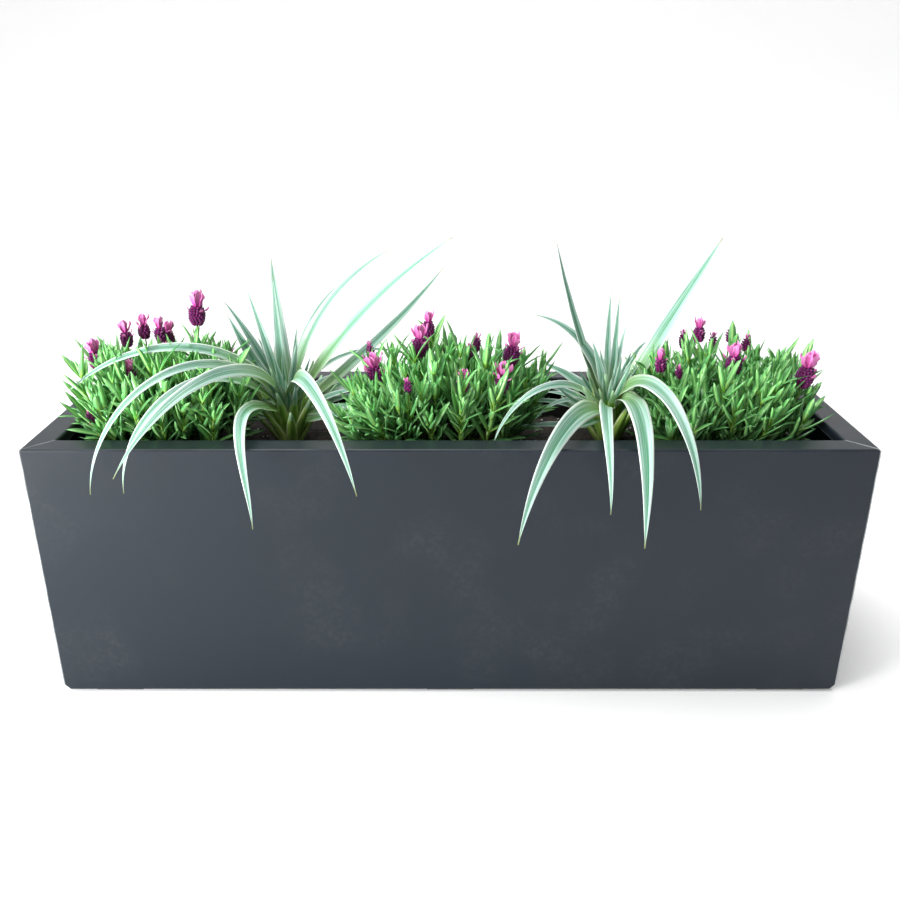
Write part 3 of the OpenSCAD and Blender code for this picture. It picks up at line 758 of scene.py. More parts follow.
# Big seed_shift: the lavender seed follows height, so lower leaves get painted shade.
LAVENDER_LEAF = Leaf(
    middle=(0.40, 0.70, 0.22), blade=(0.125, 0.43, 0.13), margin=(0.08, 0.32, 0.11),
    root=(0.38, 0.62, 0.08), tip=(0.13, 0.44, 0.14), lines=7.0, contrast=0.25,
    stripe=(0.05, 0.30), edge=(0.8, 1.0), root_end=0.35, tip_start=0.92,
    roughness=0.34, bump=0.35, seed_shift=1.1, coat=0.2)
STEM = Leaf(
    middle=(0.24, 0.40, 0.07), blade=(0.20, 0.36, 0.06), margin=(0.20, 0.34, 0.06), root=(0.16, 0.17, 0.05),
    tip=(0.22, 0.38, 0.08), lines=9.0, root_end=0.5, roughness=0.5, bump=0.3, seed_shift=0.4)
BRACT = Petal((0.50, 0.03, 0.30), (0.80, 0.25, 0.56), (0.50, 0.04, 0.33), sheen=0.05)
CALYX = Petal((0.055, 0.002, 0.055), (0.60, 0.022, 0.36), (0.04, 0.001, 0.04), sheen=0.02)


# ---- the shell ------------------------------------------------------------------------


@dataclass
class CarriedNodes:
    """The CAD nodes that stay, each in its procedural finish."""

    effects: Effects

    def dress(self) -> int:
        """Gives each kept node the material of its slot.

        Returns:
            How many nodes were dressed.
        """
        slots = {s["node"]: s["material_slot"] for s in frame["record"]["subparts"]}
        made: dict[str, bpy.types.Material] = {}
        dressed = 0
        for node, piece in frame["nodes"].items():
            slot = slots[node]
            if slot not in FINISHES:
                continue
            if slot not in made:
                made[slot] = FINISHES[slot].make(slot, self.effects)
            piece.data.materials.clear()
            piece.data.materials.append(made[slot])
            dressed += 1
        return dressed


# ---- growing medium -------------------------------------------------------------------


@dataclass
class GrowingMedium:
    """Potting mix over a geotextile mat, with a plug down into each wick basket."""

    effects: Effects
    half_length: float = 459.5 * MM
    half_depth: float = 112.0 * MM
    floor: float = 85.5 * MM
    top: float = SOIL_TOP
    cell: float = 4.6 * MM
    plug_radius: float = 38.5 * MM
    plug_floor: float = 26 * MM
    pitch: float = 306.67 * MM
    mat_floor: float = 83.2 * MM
    mat_thick: float = 1.8 * MM
    mat_half: tuple[float, float] = (459.0 * MM, 111.5 * MM)
    wick_hole: float = 48.5 * MM
    corner: float = 17.0 * MM
    risers: tuple[tuple[float, float, float], ...] = (
        (RISER_X, RISER_Y, 20.6 * MM), (-RISER_X, RISER_Y, 12.6 * MM))
    grains: int = 420

    def crumbly(self, x: float, y: float) -> float:
        """Height of the mix over its mean level at a place, in metres.

        Args:
            x: Along the trough.
            y: Across the trough.

        Returns:
            The height, about 0.
        """
        at = Vector((x, y, 0.0))
        wide = noise.noise(at * 22.0) * 4.0
        mid = noise.noise(at * 90.0 + Vector((3.1, 0.7, 0.2))) * 2.4
        fine = noise.noise(at * 260.0 + Vector((9.4, 2.7, 5.2))) * 1.6
        return (wide + mid + fine - 3.0) * MM

    def rounded(self, x: float, y: float, half_x: float, half_y: float) -> tuple[float, float]:
        """Pulls a point of the plan inside the tub's rounded corners.

        Args:
            x: Along the trough.
            y: Across the trough.
            half_x: Half the length of the plan.
            half_y: Half its depth.

        Returns:
            The point, moved if it lay outside.
        """
        over_x = max(0.0, abs(x) - half_x + self.corner)
        over_y = max(0.0, abs(y) - half_y + self.corner)
        far = math.hypot(over_x, over_y)
        if far <= self.corner:
            return x, y
        shrink = self.corner / far
        return (math.copysign(half_x - self.corner + over_x * shrink, x),
                math.copysign(half_y - self.corner + over_y * shrink, y))

    def mix(self) -> bpy.types.Object:
        """Builds the potting mix with its crumbly top and its wick plugs.

        Returns:
            The mix, with its own finish.
        """
        nx = int(self.half_length * 2 / self.cell)
        ny = int(self.half_depth * 2 / self.cell)
        mesh = bmesh.new()
        xs = np.linspace(-self.half_length, self.half_length, nx + 1)
        ys = np.linspace(-self.half_depth, self.half_depth, ny + 1)
        plan = [[self.rounded(x, y, self.half_length, self.half_depth) for y in ys] for x in xs]
        top = [[mesh.verts.new((x, y, self.top + self.crumbly(x, y))) for x, y in row] for row in plan]
        for i in range(nx):
            for j in range(ny):
                mesh.faces.new((top[i][j], top[i + 1][j], top[i + 1][j + 1], top[i][j + 1]))
        rim = [top[i][0] for i in range(nx)] + [top[nx][j] for j in range(ny)]
        rim += [top[i][ny] for i in range(nx, 0, -1)] + [top[0][j] for j in range(ny, 0, -1)]
        low = [mesh.verts.new((v.co.x, v.co.y, self.floor)) for v in rim]
        count = len(rim)
        for k in range(count):
            n = (k + 1) % count
            mesh.faces.new((rim[n], rim[k], low[k], low[n]))
        mesh.faces.new(low)
        for k in (-1, 0, 1):
            bottom = self.floor - 0.4 * MM
            middle = Matrix.Translation((k * self.pitch, 0, (bottom + self.plug_floor) / 2))
            bmesh.ops.create_cone(mesh, cap_ends=True, segments=48, radius1=self.plug_radius * 0.99,
                                  radius2=self.plug_radius, depth=bottom - self.plug_floor, matrix=middle)
        bmesh.ops.recalc_face_normals(mesh, faces=mesh.faces)
        piece = self.finish(mesh, "potting_mix", Crumb().make("potting_mix", self.effects))
        self.bore(piece)
        return piece

    def bore(self, piece: bpy.types.Object) -> None:
        """Cuts the two risers' holes down through the potting mix."""
        for x, y, radius in self.risers:
            cutter = bmesh.new()
            bmesh.ops.create_cone(cutter, cap_ends=True, segments=48, radius1=radius, radius2=radius,
                                  depth=2 * self.top, matrix=Matrix.Translation((x, y, self.top)))
            data = bpy.data.meshes.new("riser_cutter")
            cutter.to_mesh(data)
            cutter.free()
            tool = bpy.data.objects.new("riser_cutter", data)
            bpy.context.scene.collection.objects.link(tool)
            cut = piece.modifiers.new("riser_hole", "BOOLEAN")
            cut.operation = "DIFFERENCE"
            cut.solver = "EXACT"
            cut.object = tool
            shape = piece.evaluated_get(bpy.context.evaluated_depsgraph_get())
            piece.data = bpy.data.meshes.new_from_object(shape)
            piece.modifiers.clear()
            bpy.data.objects.remove(tool)

    def finish(self, mesh: bmesh.types.BMesh, name: str, material: bpy.types.Material) -> bpy.types.Object:
        """Turns a bmesh into a linked object with its material.

        Args:
            mesh: The shape; it is freed here.
            name: The piece's name.
            material: Its finish.

        Returns:
            The linked object.
        """
        data = bpy.data.meshes.new(name)
        mesh.to_mesh(data)
        mesh.free()
        data.shade_smooth()
        piece = bpy.data.objects.new(name, data)
        bpy.context.scene.collection.objects.link(piece)
        data.materials.append(material)
        return piece

    def perlite(self) -> bpy.types.Object:
        """Builds pale perlite grains that lie on the mix, most of them by the walls.

        Returns:
            All the grains as one piece.
        """
        rng = np.random.default_rng(41)
        pile = MeshPile()
        for _ in range(self.grains):
            x = rng.uniform(-0.452, 0.452)
            y = rng.uniform(-0.107, 0.107)
            if rng.random() < 0.45:
                x = math.copysign(rng.uniform(0.40, 0.455), x)
            size = rng.uniform(0.9, 2.4) * MM
            turn = np.array(Euler(tuple(rng.uniform(0, 6.28, 3))).to_matrix())
            axes = turn * (size * rng.uniform(0.6, 1.1, 3))[:, None]
            place = np.array([x, y, self.top + self.crumbly(x, y) + size * 0.35])
            pile.lump(place, axes, rng.random(), 3, 6)
        piece = pile.build("perlite_grains")
        piece.data.materials.append(PERLITE.make("perlite", self.effects))
        return piece

    def mat(self) -> bpy.types.Object:
        """Builds the felt mat, cut round the wick baskets and the two risers.

        Returns:
            The mat, laid flat.
        """
        holes = [(k * self.pitch, 0.0, self.wick_hole) for k in (-1, 0, 1)] + list(self.risers)
        mesh = bmesh.new()
        nx, ny = 153, 37
        xs = np.linspace(-self.mat_half[0], self.mat_half[0], nx + 1)
        ys = np.linspace(-self.mat_half[1], self.mat_half[1], ny + 1)
        points = {(i, j): Vector((*self.rounded(x, y, *self.mat_half), self.mat_floor))
                  for i, x in enumerate(xs) for j, y in enumerate(ys)}

        def outside(p: Vector) -> bool:
            """True if a point of the mat lies in none of its holes."""
            return all(math.hypot(p.x - cx, p.y - cy) >= r for cx, cy, r in holes)

        cells = [((i, j), (i + 1, j), (i + 1, j + 1), (i, j + 1)) for i in range(nx) for j in range(ny)
                 if outside((points[i, j] + points[i + 1, j + 1]) / 2)]
        used = {c: mesh.verts.new(points[c]) for cell in cells for c in cell}
        for cell in cells:
            mesh.faces.new([used[c] for c in cell])
        bmesh.ops.remove_doubles(mesh, verts=mesh.verts, dist=1e-6)
        for v in mesh.verts:
            if not v.is_boundary:
                continue
            for cx, cy, r in holes:
                off = Vector((v.co.x - cx, v.co.y - cy, 0))
                if off.length < r + 7 * MM and abs(v.co.y) < self.mat_half[1] - MM:
                    v.co = Vector((cx, cy, v.co.z)) + off.normalized() * r
        for v in mesh.verts:
            v.co.z += noise.noise(v.co * 160) * 0.12 * MM
        piece = self.finish(mesh, "geotextile_sheet", NeedleFelt().make("needle_felt", self.effects))
        thick = piece.modifiers.new("thickness", "SOLIDIFY")
        thick.thickness = self.mat_thick * 0.8
        thick.offset = 1.0
        return piece

    def build(self) -> None:
        """Builds all three pieces and ties them to the liner."""
        mix = self.mix()
        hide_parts("potting_soil")
        grains = self.perlite()
        mat = self.mat()
        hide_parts("geotextile_mat")
        for piece in (mix, grains, mat):
            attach(piece, "liner")


# ---- silver rosettes ------------------------------------------------------------------


@dataclass(frozen=True)
class Blade:
    """One long rosette leaf, in degrees and millimetres, as a grower would describe it."""

    heading: float
    rise: float
    length: float
    droop: float
    lateness: float
    swing: float
    width: float
    foot: float = 36.0


BLADES_LEFT = [Blade(*row) for row in (
    (110, 70, 210, 10, 1.2, -5, 18), (150, 85, 185, -5, 1.2, 0, 12), (30, 85, 190, 50, 1.6, -5, 10),
    (-5, 88, 270, 60, 1, 10, 14), (-2, 64, 320, 32, 0.9, 8, 16), (20, 35, 280, -15, 1.4, -10, 14),
    (25, 80, 210, 110, 0.8, -5, 6), (-75, 75, 345, 135, 0.8, 18, 17), (15, 10, 100, -20, 1, 25, 10),
    (20, 35, 190, 65, 1.2, 5, 8), (203, 78, 330, 120, 0.85, 0, 12), (228, 66, 385, 150, 1.1, -4, 11),
    (236, 50, 345, 140, 1.5, -5, 11), (253, 76, 358, 130, 0.8, -26, 17),
    (243, 30, 308, 121, 1.8, 60, 15), (145, 10, 110, -20, 1.2, -20, 10), (160, 70, 170, 20, 1.2, 5, 12),
    (175, 60, 150, -5, 1.2, 0, 15), (155, 75, 170, 5, 1.2, 0, 11), (135, 65, 130, 0, 1.2, 0, 11),
)]
BLADES_RIGHT = [Blade(*row) for row in (
    (171, 67, 240, -10, 1.4, 0, 11), (95, 60, 170, 0, 1.2, -20, 9), (75, 88, 160, -15, 1.2, 15, 9),
    (55, 88, 120, 25, 1.6, -10, 9), (0, 64, 262, 4, 1, 5, 19), (40, 65, 120, 75, 1.2, 0, 12),
    (-76, 66, 325, 145, 1, 2, 19), (-84, 44, 335, 128, 1.2, -14, 23), (-108, 32, 285, 120, 1.8, 22, 15),
    (244, 28, 350, 90, 1.4, -2, 22), (222, 46, 255, 120, 1.6, -6, 10), (160, 50, 120, 40, 1.2, 0, 14),
    (170, 80, 180, 75, 1.6, 0, 15), (55, 80, 100, -25, 1.2, -15, 6), (165, 50, 70, -10, 1.2, 0, 10),
    (215, 20, 120, -20, 1, 15, 10), (235, 5, 120, 0, 1.2, -10, 10),
)]


@dataclass
class SilverRosette:
    """A rosette of long arching leaves over clasping leaf bases."""

    side: Side
    blades: list[Blade]
    effects: Effects
    steps: int = 44
    ring: int = 11
    thick: float = 1.0 * MM
    keel: float = 0.24
    fullness: float = 1.36
    front_turn: float = 0.72
    short_leaves: int = 11
    skirt_leaves: int = 26
    clasping_leaves: int = 26
    golden_turn: float = 2.399

    @property
    def crown(self) -> np.ndarray:
        """Where the crown meets the potting mix."""
        return np.array([-ROSETTE_X if self.side is Side.LEFT else ROSETTE_X, ROSETTE_Y, SOIL_TOP])

    def line(self, blade: Blade) -> tuple[np.ndarray, np.ndarray, np.ndarray, np.ndarray]:
        """A blade's middle line and its frame.

        Args:
            blade: The blade.

        Returns:
            Points, directions, sides and upper faces, each (steps, 3).
        """
        s = np.linspace(0, 1, self.steps)
        mid = (s[1:] + s[:-1]) / 2
        rise = np.radians(blade.rise - blade.droop * mid**blade.lateness)
        turn = np.radians(blade.heading + blade.swing * mid)
        step = np.stack([np.cos(rise) * np.cos(turn), np.cos(rise) * np.sin(turn), np.sin(rise)], -1)
        start = np.radians(blade.heading)
        root = np.array([4 * math.cos(start), 4 * math.sin(start), blade.foot])
        path = np.cumsum(step * blade.length / (self.steps - 1), axis=0)
        points = np.concatenate([[root], root + path]) * MM
        rise = np.radians(blade.rise - blade.droop * s**blade.lateness)
        turn = np.radians(blade.heading + blade.swing * s)
        along = np.stack([np.cos(rise) * np.cos(turn), np.cos(rise) * np.sin(turn), np.sin(rise)], -1)
        side = np.stack([-np.sin(turn), np.cos(turn), np.zeros_like(turn)], -1)
        return points + self.crown, along, side, np.cross(along, side)

    def add_blade(self, pile: MeshPile, blade: Blade, seed: float, twist: float) -> None:
        """Adds one closed, keeled blade.

        Args:
            pile: The mesh to add to.
            blade: Its shape.
            seed: A number from 0 to 1 that sets its shade.
            twist: How far it turns about itself towards its tip, in radians.
        """
        points, _, side, out = self.line(blade)
        s = np.linspace(0, 1, self.steps)
        front = np.array([0.0, -0.92, 0.38])
        facing = np.arctan2(-(side @ front), out @ front)
        facing = np.unwrap(facing * 2) / 2
        facing -= np.round(facing[self.steps // 2] / math.pi) * math.pi
        grow = np.clip(0.25 + 1.6 * s, 0, 1)
        turn = twist * s**1.5 + self.front_turn * facing * grow
        cos, sin = np.cos(turn)[:, None], np.sin(turn)[:, None]
        side, out = side * cos + out * sin, out * cos - side * sin
        half = blade.width / 2 * self.fullness * MM
        half = half * np.minimum(1, 0.6 + 1.6 * s) * np.maximum(0.04, 1 - s**2.1)
        a = np.linspace(-1, 1, self.ring)
        fold = self.keel * (0.75 + 0.5 * np.exp(-6 * s))[:, None] * half[:, None]
        pleat = 0.035 * np.cos(a * 9.5)[None] * half[:, None]
        upper = fold * np.abs(a)[None] ** 1.25 + pleat
        body = self.thick * (1 - 0.75 * a**2)[None] * (0.35 + 0.65 * (1 - s))[:, None]
        wave = 0.05 * half[:, None] * np.sin(s * 31 + seed * 20)[:, None] * a[None] ** 2
        across = np.concatenate([half[:, None] * a[None], half[:, None] * a[None, ::-1]], axis=1)
        height = np.concatenate([upper + wave, (upper + wave - body)[:, ::-1]], axis=1)
        last = 2 * self.ring - 1
        caps = [(k, k + 1, last - k - 1, last - k) for k in range(self.ring - 1)]
        pile.sweep(points, side, out, across, height, caps, seed)

    def trimmed(self, blade: Blade) -> Blade:
        """Shortens a low leaf until it stays inside the rim.

        Args:
            blade: The leaf.

        Returns:
            The leaf, no longer than it has room for.
        """
        while blade.length > 40:
            points = self.line(blade)[0]
            low = points[:, 2] < RIM_CLEAR
            if not (low & ((np.abs(points[:, 1]) > 0.106) | (np.abs(points[:, 0]) > 0.452))).any():
                break
            blade = replace(blade, length=blade.length * 0.92)
        return blade

    def young(self, rng: np.random.Generator) -> list[Blade]:
        """Short leaves that fill the heart of the crown, and low ones that hide the potting mix.

        Args:
            rng: The plant's random draws.

        Returns:
            The blades to grow.
        """
        made = []
        for k in range(self.skirt_leaves):
            heading = k * 137.5 + rng.uniform(-12, 12)
            reach = 110 if math.sin(math.radians(heading)) < -0.45 else 160
            rise = rng.uniform(15, 62)
            droop = rise * rng.uniform(1.0, 1.9)
            if reach < 120:
                rise, droop = rng.uniform(58, 74), rng.uniform(0, 20)
            low = Blade(heading, rise, reach * rng.uniform(0.72, 1.0), droop, 1.3, rng.uniform(-18, 18),
                        rng.uniform(6.5, 10), rng.uniform(14, 34))
            made.append(self.trimmed(low))
        for k in range(self.short_leaves):
            heading = k * 360 / self.short_leaves + rng.uniform(-15, 15)
            made.append(Blade(heading, rng.uniform(62, 84), rng.uniform(60, 120), rng.uniform(-5, 25), 1.2,
                              rng.uniform(-8, 8), rng.uniform(7, 12)))
        return made

    def crown_piece(self) -> bpy.types.Object:
        """Builds the clasping leaf bases round the crown.

        Returns:
            The leaf bases as one piece.
        """
        rng = np.random.default_rng(7 if self.side is Side.LEFT else 8)
        pile = MeshPile()
        for k in range(self.clasping_leaves):
            turn = k * self.golden_turn
            lean = 0.06 + 0.024 * k
            ray = np.array([math.cos(turn), math.sin(turn), 0])
            low = self.crown + ray * (3 + 0.4 * k) * MM
            low[2] -= 8 * MM
            rise = ray * math.sin(lean) + np.array([0, 0, math.cos(lean)])
            top = low + rise * rng.uniform(76, 118) * MM
            mid = (low + top) / 2 + ray * -5 * MM
            line = bezier(low, mid, top, 10)
            along = unit(np.gradient(line, axis=0))
            side = np.tile([-math.sin(turn), math.cos(turn), 0.0], (10, 1))
            out = np.cross(along, side)
            s = np.linspace(0, 1, 10)
            half = (10.6 - 0.12 * k) * MM * (1 - 0.88 * s**2.2)
            a = np.linspace(-1, 1, 7)
            upper = half[:, None] * 0.55 * a[None] ** 2
            body = 1.6 * MM * (1 - 0.6 * a**2)[None] * np.ones((10, 1))
            across = np.concatenate([half[:, None] * a[None], half[:, None] * a[None, ::-1]], axis=1)
            height = np.concatenate([upper, (upper - body)[:, ::-1]], axis=1)
            caps = [(j, j + 1, 12 - j, 13 - j) for j in range(6)]
            pile.sweep(line, side, out, across, height, caps, rng.random())
        return pile.build(f"rosette_{self.side.value}_crown")

    def build(self) -> bpy.types.Object:
        """Builds the rosette and ties it to the liner.

        Returns:
            The leaves.
        """
        rng = np.random.default_rng(11 if self.side is Side.LEFT else 12)
        pile = MeshPile()
        for blade in self.blades:
            self.add_blade(pile, blade, rng.random(), rng.uniform(-0.25, 0.25))
        for blade in self.young(rng):
            self.add_blade(pile, blade, rng.random(), rng.uniform(-0.3, 0.3))
        name = f"rosette_{self.side.value}_leaves"
        leaves = pile.build(name)
        leaves.data.materials.append(SILVER_LEAF.make(name, self.effects))
        crown = self.crown_piece()
        crown.data.materials.append(CLASPING_LEAF.make(crown.name, self.effects))
        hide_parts(f"astelia_{self.side.value}")
        for piece in (leaves, crown):
            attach(piece, "liner")
        return leaves


# ---- lavender -------------------------------------------------------------------------


@dataclass(frozen=True)
class Mound:
    """A rounded part of a clump: its middle and radius in millimetres."""

    x: float
    y: float
    radius: float
    z: float


@dataclass(frozen=True)
class Head:
    """A flower head: where it stands, how high its top is and how long it is, in millimetres."""

    x: float
    y: float
    top: float
    length: float


CLUMPS: dict[Side, list[Mound]] = {
    Side.LEFT: [Mound(*row) for row in (
        (-378, 0, 72, 337), (-322, -38, 62, 345), (-328, 40, 60, 350), (-400, -58, 52, 330),
        (-425, 20, 50, 345), (-436, -26, 44, 366),
    )],
    Side.CENTRE: [Mound(*row) for row in (
        (-58, -14, 68, 345), (30, -24, 70, 343), (-8, 42, 62, 348), (76, 16, 54, 342),
        (-80, -50, 50, 325),
    )],
    Side.RIGHT: [Mound(*row) for row in (
        (352, -10, 72, 342), (395, -42, 54, 338), (300, 22, 54, 345), (300, -45, 48, 328),
        (415, 10, 50, 345),
    )],
}
HEADS: dict[Side, list[Head]] = {
    Side.LEFT: [Head(*row) for row in (
        (-450, -20, 436, 40), (-425, 30, 447, 35), (-405, 45, 453, 34), (-380, 35, 451, 34),
        (-376, 55, 441, 34), (-326, 30, 487, 46), (-340, 60, 421, 24), (-318, 50, 414, 20),
        (-286, 20, 415, 24), (-400, -40, 416, 33), (-440, -85, 367, 22), (-366, 10, 424, 20),
    )],
    Side.CENTRE: [Head(*row) for row in (
        (-106, 20, 423, 24), (-98, -30, 423, 46), (-29, 40, 459, 36), (-39, 0, 451, 44),
        (36, 50, 426, 26), (25, 20, 421, 26), (82, 0, 441, 46), (67, -50, 416, 42), (17, -60, 409, 30),
        (-52, -80, 405, 20), (-9, 60, 407, 20),
    )],
    Side.RIGHT: [Head(*row) for row in (
        (267, -10, 421, 32), (290, -20, 403, 20), (310, 50, 430, 26), (327, 40, 450, 34),
        (352, 56, 425, 24), (372, 48, 437, 24), (392, 40, 427, 24), (360, -20, 433, 44),
        (444, -50, 429, 48),
    )],
}
CLUMP_MIDDLE = {Side.LEFT: -360.0, Side.CENTRE: 0.0, Side.RIGHT: 345.0}


@dataclass
class LavenderClump:
    """A clump of leafy shoots with studded flower heads that carry ear-like bracts."""

    side: Side
    effects: Effects
    shoots_per_mound: int = 23
    pairs: int = 6
    leaf_steps: int = 6
    spread: float = 9 * MM

    def kept_out(self, points: np.ndarray) -> bool:
        """True if a leaf would touch the shell's rim, a handle, the gauge or the filler cap.

        Args:
            points: Points of the leaf, in metres.

        Returns:
            True for a leaf to leave out.
        """
        x, y, z = points[..., 0], points[..., 1], points[..., 2]
        walls = (z < WALL_TOP) & ((np.abs(x) > WALL_X) | (np.abs(y) > WALL_Y))
        handles = (np.abs(x) > HANDLE_X) & (np.abs(y) < HANDLE_HALF_Y) & (z < RIM_CLEAR)
        gauge = (np.hypot(x + RISER_X, y - RISER_Y) < GAUGE_CLEAR) & (z < GAUGE_TOP)
        filler = (x > CAP_X[0]) & (x < CAP_X[1]) & (y > CAP_Y[0]) & (y < CAP_Y[1]) & (z < CAP_TOP)
        soil = z < SOIL_TOP - 4 * MM
        return bool((walls | handles | gauge | filler | soil).any())

    def add_leaf(self, pile: MeshPile, root: np.ndarray, along: np.ndarray, up: np.ndarray, length: float,
                 width: float, bend: float, seed: float) -> bool:
        """Adds one narrow, folded leaf.

        Args:
            pile: The mesh to add to.
            root: Where it joins the shoot.
            along: The way it sets off.
            up: The way its upper face looks.
            length: In metres.
            width: In metres.
            bend: How far it curves towards its upper face, as a share of its length.
            seed: From 0 to 1, how light it is; add_shoot sets it by height as painted shade.

        Returns:
            False if it would touch something it must stay clear of.
        """
        s = np.linspace(0, 1, self.leaf_steps)[:, None]
        line = root + along * length * s + up * (bend * length * s**2)
        if self.kept_out(line):
            return False
        way = unit(np.gradient(line, axis=0))
        side = unit(np.cross(up, way))
        out = np.cross(way, side)
        t = s[:, 0]
        half = width / 2 * np.maximum(0.14, np.sin(math.pi * np.clip(0.1 + 0.84 * t, 0, 1)) ** 0.7)
        half[-1] = width * 0.05
        fold = half * 0.45
        zero = np.zeros_like(half)
        across = np.stack([-half, zero, half, zero], axis=1)
        height = np.stack([fold, zero, fold, zero - 0.55 * MM * (1.1 - 0.6 * t)], axis=1)
        pile.sweep(line, side, out, across, height, [(0, 1, 2, 3)], seed)
        return True

    def add_shoot(self, leaves: MeshPile, stems: MeshPile, root: np.ndarray, tip: np.ndarray,
                  rng: np.random.Generator) -> None:
        """Adds one leafy shoot.

        Args:
            leaves: The mesh its leaves go to.
            stems: The mesh its stem goes to.
            root: Where it leaves the potting mix.
            tip: Where it ends.
            rng: The clump's own random numbers.
        """
        bend = np.array([0.35 * root[0] + 0.65 * tip[0], 0.35 * root[1] + 0.65 * tip[1],
                         0.62 * root[2] + 0.38 * tip[2]])
        line = bezier(root, bend, tip, 12)
        if self.kept_out(line[2:]):
            return
        seed = rng.random()
        stems.tube(line, np.linspace(1.3, 0.8, 12) * MM, seed, 6)
        along, side, out = stem_frame(line)
        turn = rng.uniform(0, math.tau)
        for k in range(self.pairs):
            at = 0.34 + 0.62 * k / (self.pairs - 1) + rng.uniform(-0.02, 0.02)
            i = int(np.clip(round(at * 11), 0, 11))
            turn += math.pi / 2 + rng.uniform(-0.3, 0.3)
            for half in (0, math.pi):
                ray = side[i] * math.cos(turn + half) + out[i] * math.sin(turn + half)
                lean = math.radians(rng.uniform(28, 52) - 10 * k / self.pairs)
                way = unit(along[i] * math.cos(lean) + ray * math.sin(lean))
                up = unit(along[i] - way * float(np.dot(along[i], way)))
                length = rng.uniform(30, 54) * MM * (1.08 - 0.12 * k / self.pairs)
                # Seed rises with the leaf's height: painted shade darkens the lower leaves, plus some random
                # tone.
                self.add_leaf(leaves, line[i], way, up, length, rng.uniform(6.8, 10.6) * MM,
                              rng.uniform(-0.24, 0.28),
                              float(np.clip((line[i, 2] - 0.30) / 0.09, 0, 1)) * (0.45 + 0.3 * seed)
                              + rng.random() * 0.25)
        for k in range(4):
            turn += math.pi / 2
            ray = side[-1] * math.cos(turn) + out[-1] * math.sin(turn)
            lean = math.radians(rng.uniform(8, 24))
            way = unit(along[-1] * math.cos(lean) + ray * math.sin(lean))
            up = unit(along[-1] - way * float(np.dot(along[-1], way)))
            # Tip leaves never take the darkest seeds: the lit top of that painted shade.
            self.add_leaf(leaves, line[-1], way, up, rng.uniform(18, 34) * MM, rng.uniform(4.6, 7.2) * MM,
                          rng.uniform(-0.1, 0.15), min(1.0, 0.35 + 0.65 * rng.random()))

    def foliage(self) -> tuple[bpy.types.Object, bpy.types.Object]:
        """Builds the leaves and the shoots that carry them.

        Returns:
            The leaves, and the shoots.
        """
        rng = np.random.default_rng({Side.LEFT: 101, Side.CENTRE: 102, Side.RIGHT: 103}[self.side])
        leaves, stems = MeshPile(), MeshPile()
        mounds = CLUMPS[self.side]
        mid_x = CLUMP_MIDDLE[self.side] * MM
        for m in mounds:
            middle = np.array([m.x, m.y, m.z]) * MM
            for k in range(self.shoots_per_mound):
                lift = 1 - 1.12 * (k + 0.5) / self.shoots_per_mound
                turn = k * 2.39996 + rng.uniform(-0.2, 0.2)
                flat = math.sqrt(max(0.0, 1 - lift * lift))
                way = np.array([flat * math.cos(turn), flat * math.sin(turn), lift])
                way /= np.abs(way).max() ** 0.35
                tip = middle + way * (m.radius * MM - 14 * MM + self.spread) * rng.uniform(0.66, 1.13)
                high = tip[2] > RIM_CLEAR
                tip[0] = float(np.clip(tip[0], -0.482, 0.478) if high else np.clip(tip[0], -0.452, 0.452))
                tip[1] = float(np.clip(tip[1], -0.118, 0.118) if high else np.clip(tip[1], -0.104, 0.104))
                tip[2] = max(tip[2], 0.300)
                root = np.array([tip[0] + (mid_x - tip[0]) * 0.35 + rng.uniform(-8, 8) * MM,
                                 tip[1] * 0.62 + rng.uniform(-8, 8) * MM, SOIL_TOP - 3 * MM])
                root[0] = float(np.clip(root[0], -0.446, 0.446))
                self.add_shoot(leaves, stems, root, tip, rng)
        leaf_piece = leaves.build(f"lavender_{self.side.value}_leaves")
        stem_piece = stems.build(f"lavender_{self.side.value}_shoots")
        return leaf_piece, stem_piece

    def add_bract(self, pile: MeshPile, root: np.ndarray, axis: np.ndarray, ray: np.ndarray, length: float,
                  width: float, lean: float, rng: np.random.Generator) -> None:
        """Adds one ear-like bract with a frilled round end.

        Args:
            pile: The mesh to add to.
            root: Where it leaves the head.
            axis: The head's axis.
            ray: Outwards from the axis.
            length: In metres.
            width: In metres.
            lean: Its lean from the axis, in radians.
            rng: The clump's own random numbers.
        """
        steps = 9
        s = np.linspace(0, 1, steps)[:, None]
        way = axis * math.cos(lean) + ray * math.sin(lean)
        up = unit(axis * math.sin(lean) - ray * math.cos(lean)) * -1.0
        curl = rng.uniform(0.05, 0.35)
        line = root + way * length * s + up * (-curl * length * s**2)
        along = unit(np.gradient(line, axis=0))
        side = unit(np.cross(up, along))
        out = np.cross(along, side)
        t = s[:, 0]
        half = width / 2 * np.clip(0.30 + 1.1 * t - 0.25 * t**2, 0.1, 1)
        half *= np.sqrt(np.clip(1 - t**5, 0.03, 1))
        half *= 1 + 0.09 * np.sin(t * 17 + rng.uniform(0, 6))
        a = np.linspace(-1, 1, 5)
        cup = half[:, None] * (0.35 * a[None] ** 2)
        frill = 0.18 * half[:, None] * np.sin(t * 13 + rng.uniform(0, 6))[:, None] * a[None]
        body = 0.5 * MM * (1 - 0.5 * a**2)[None] * np.ones((steps, 1))
        across = np.concatenate([half[:, None] * a[None], half[:, None] * a[None, ::-1]], axis=1)
        height = np.concatenate([cup + frill, (cup + frill - body)[:, ::-1]], axis=1)
        caps = [(j, j + 1, 8 - j, 9 - j) for j in range(4)]
        pile.sweep(line, side, out, across, height, caps, rng.random())

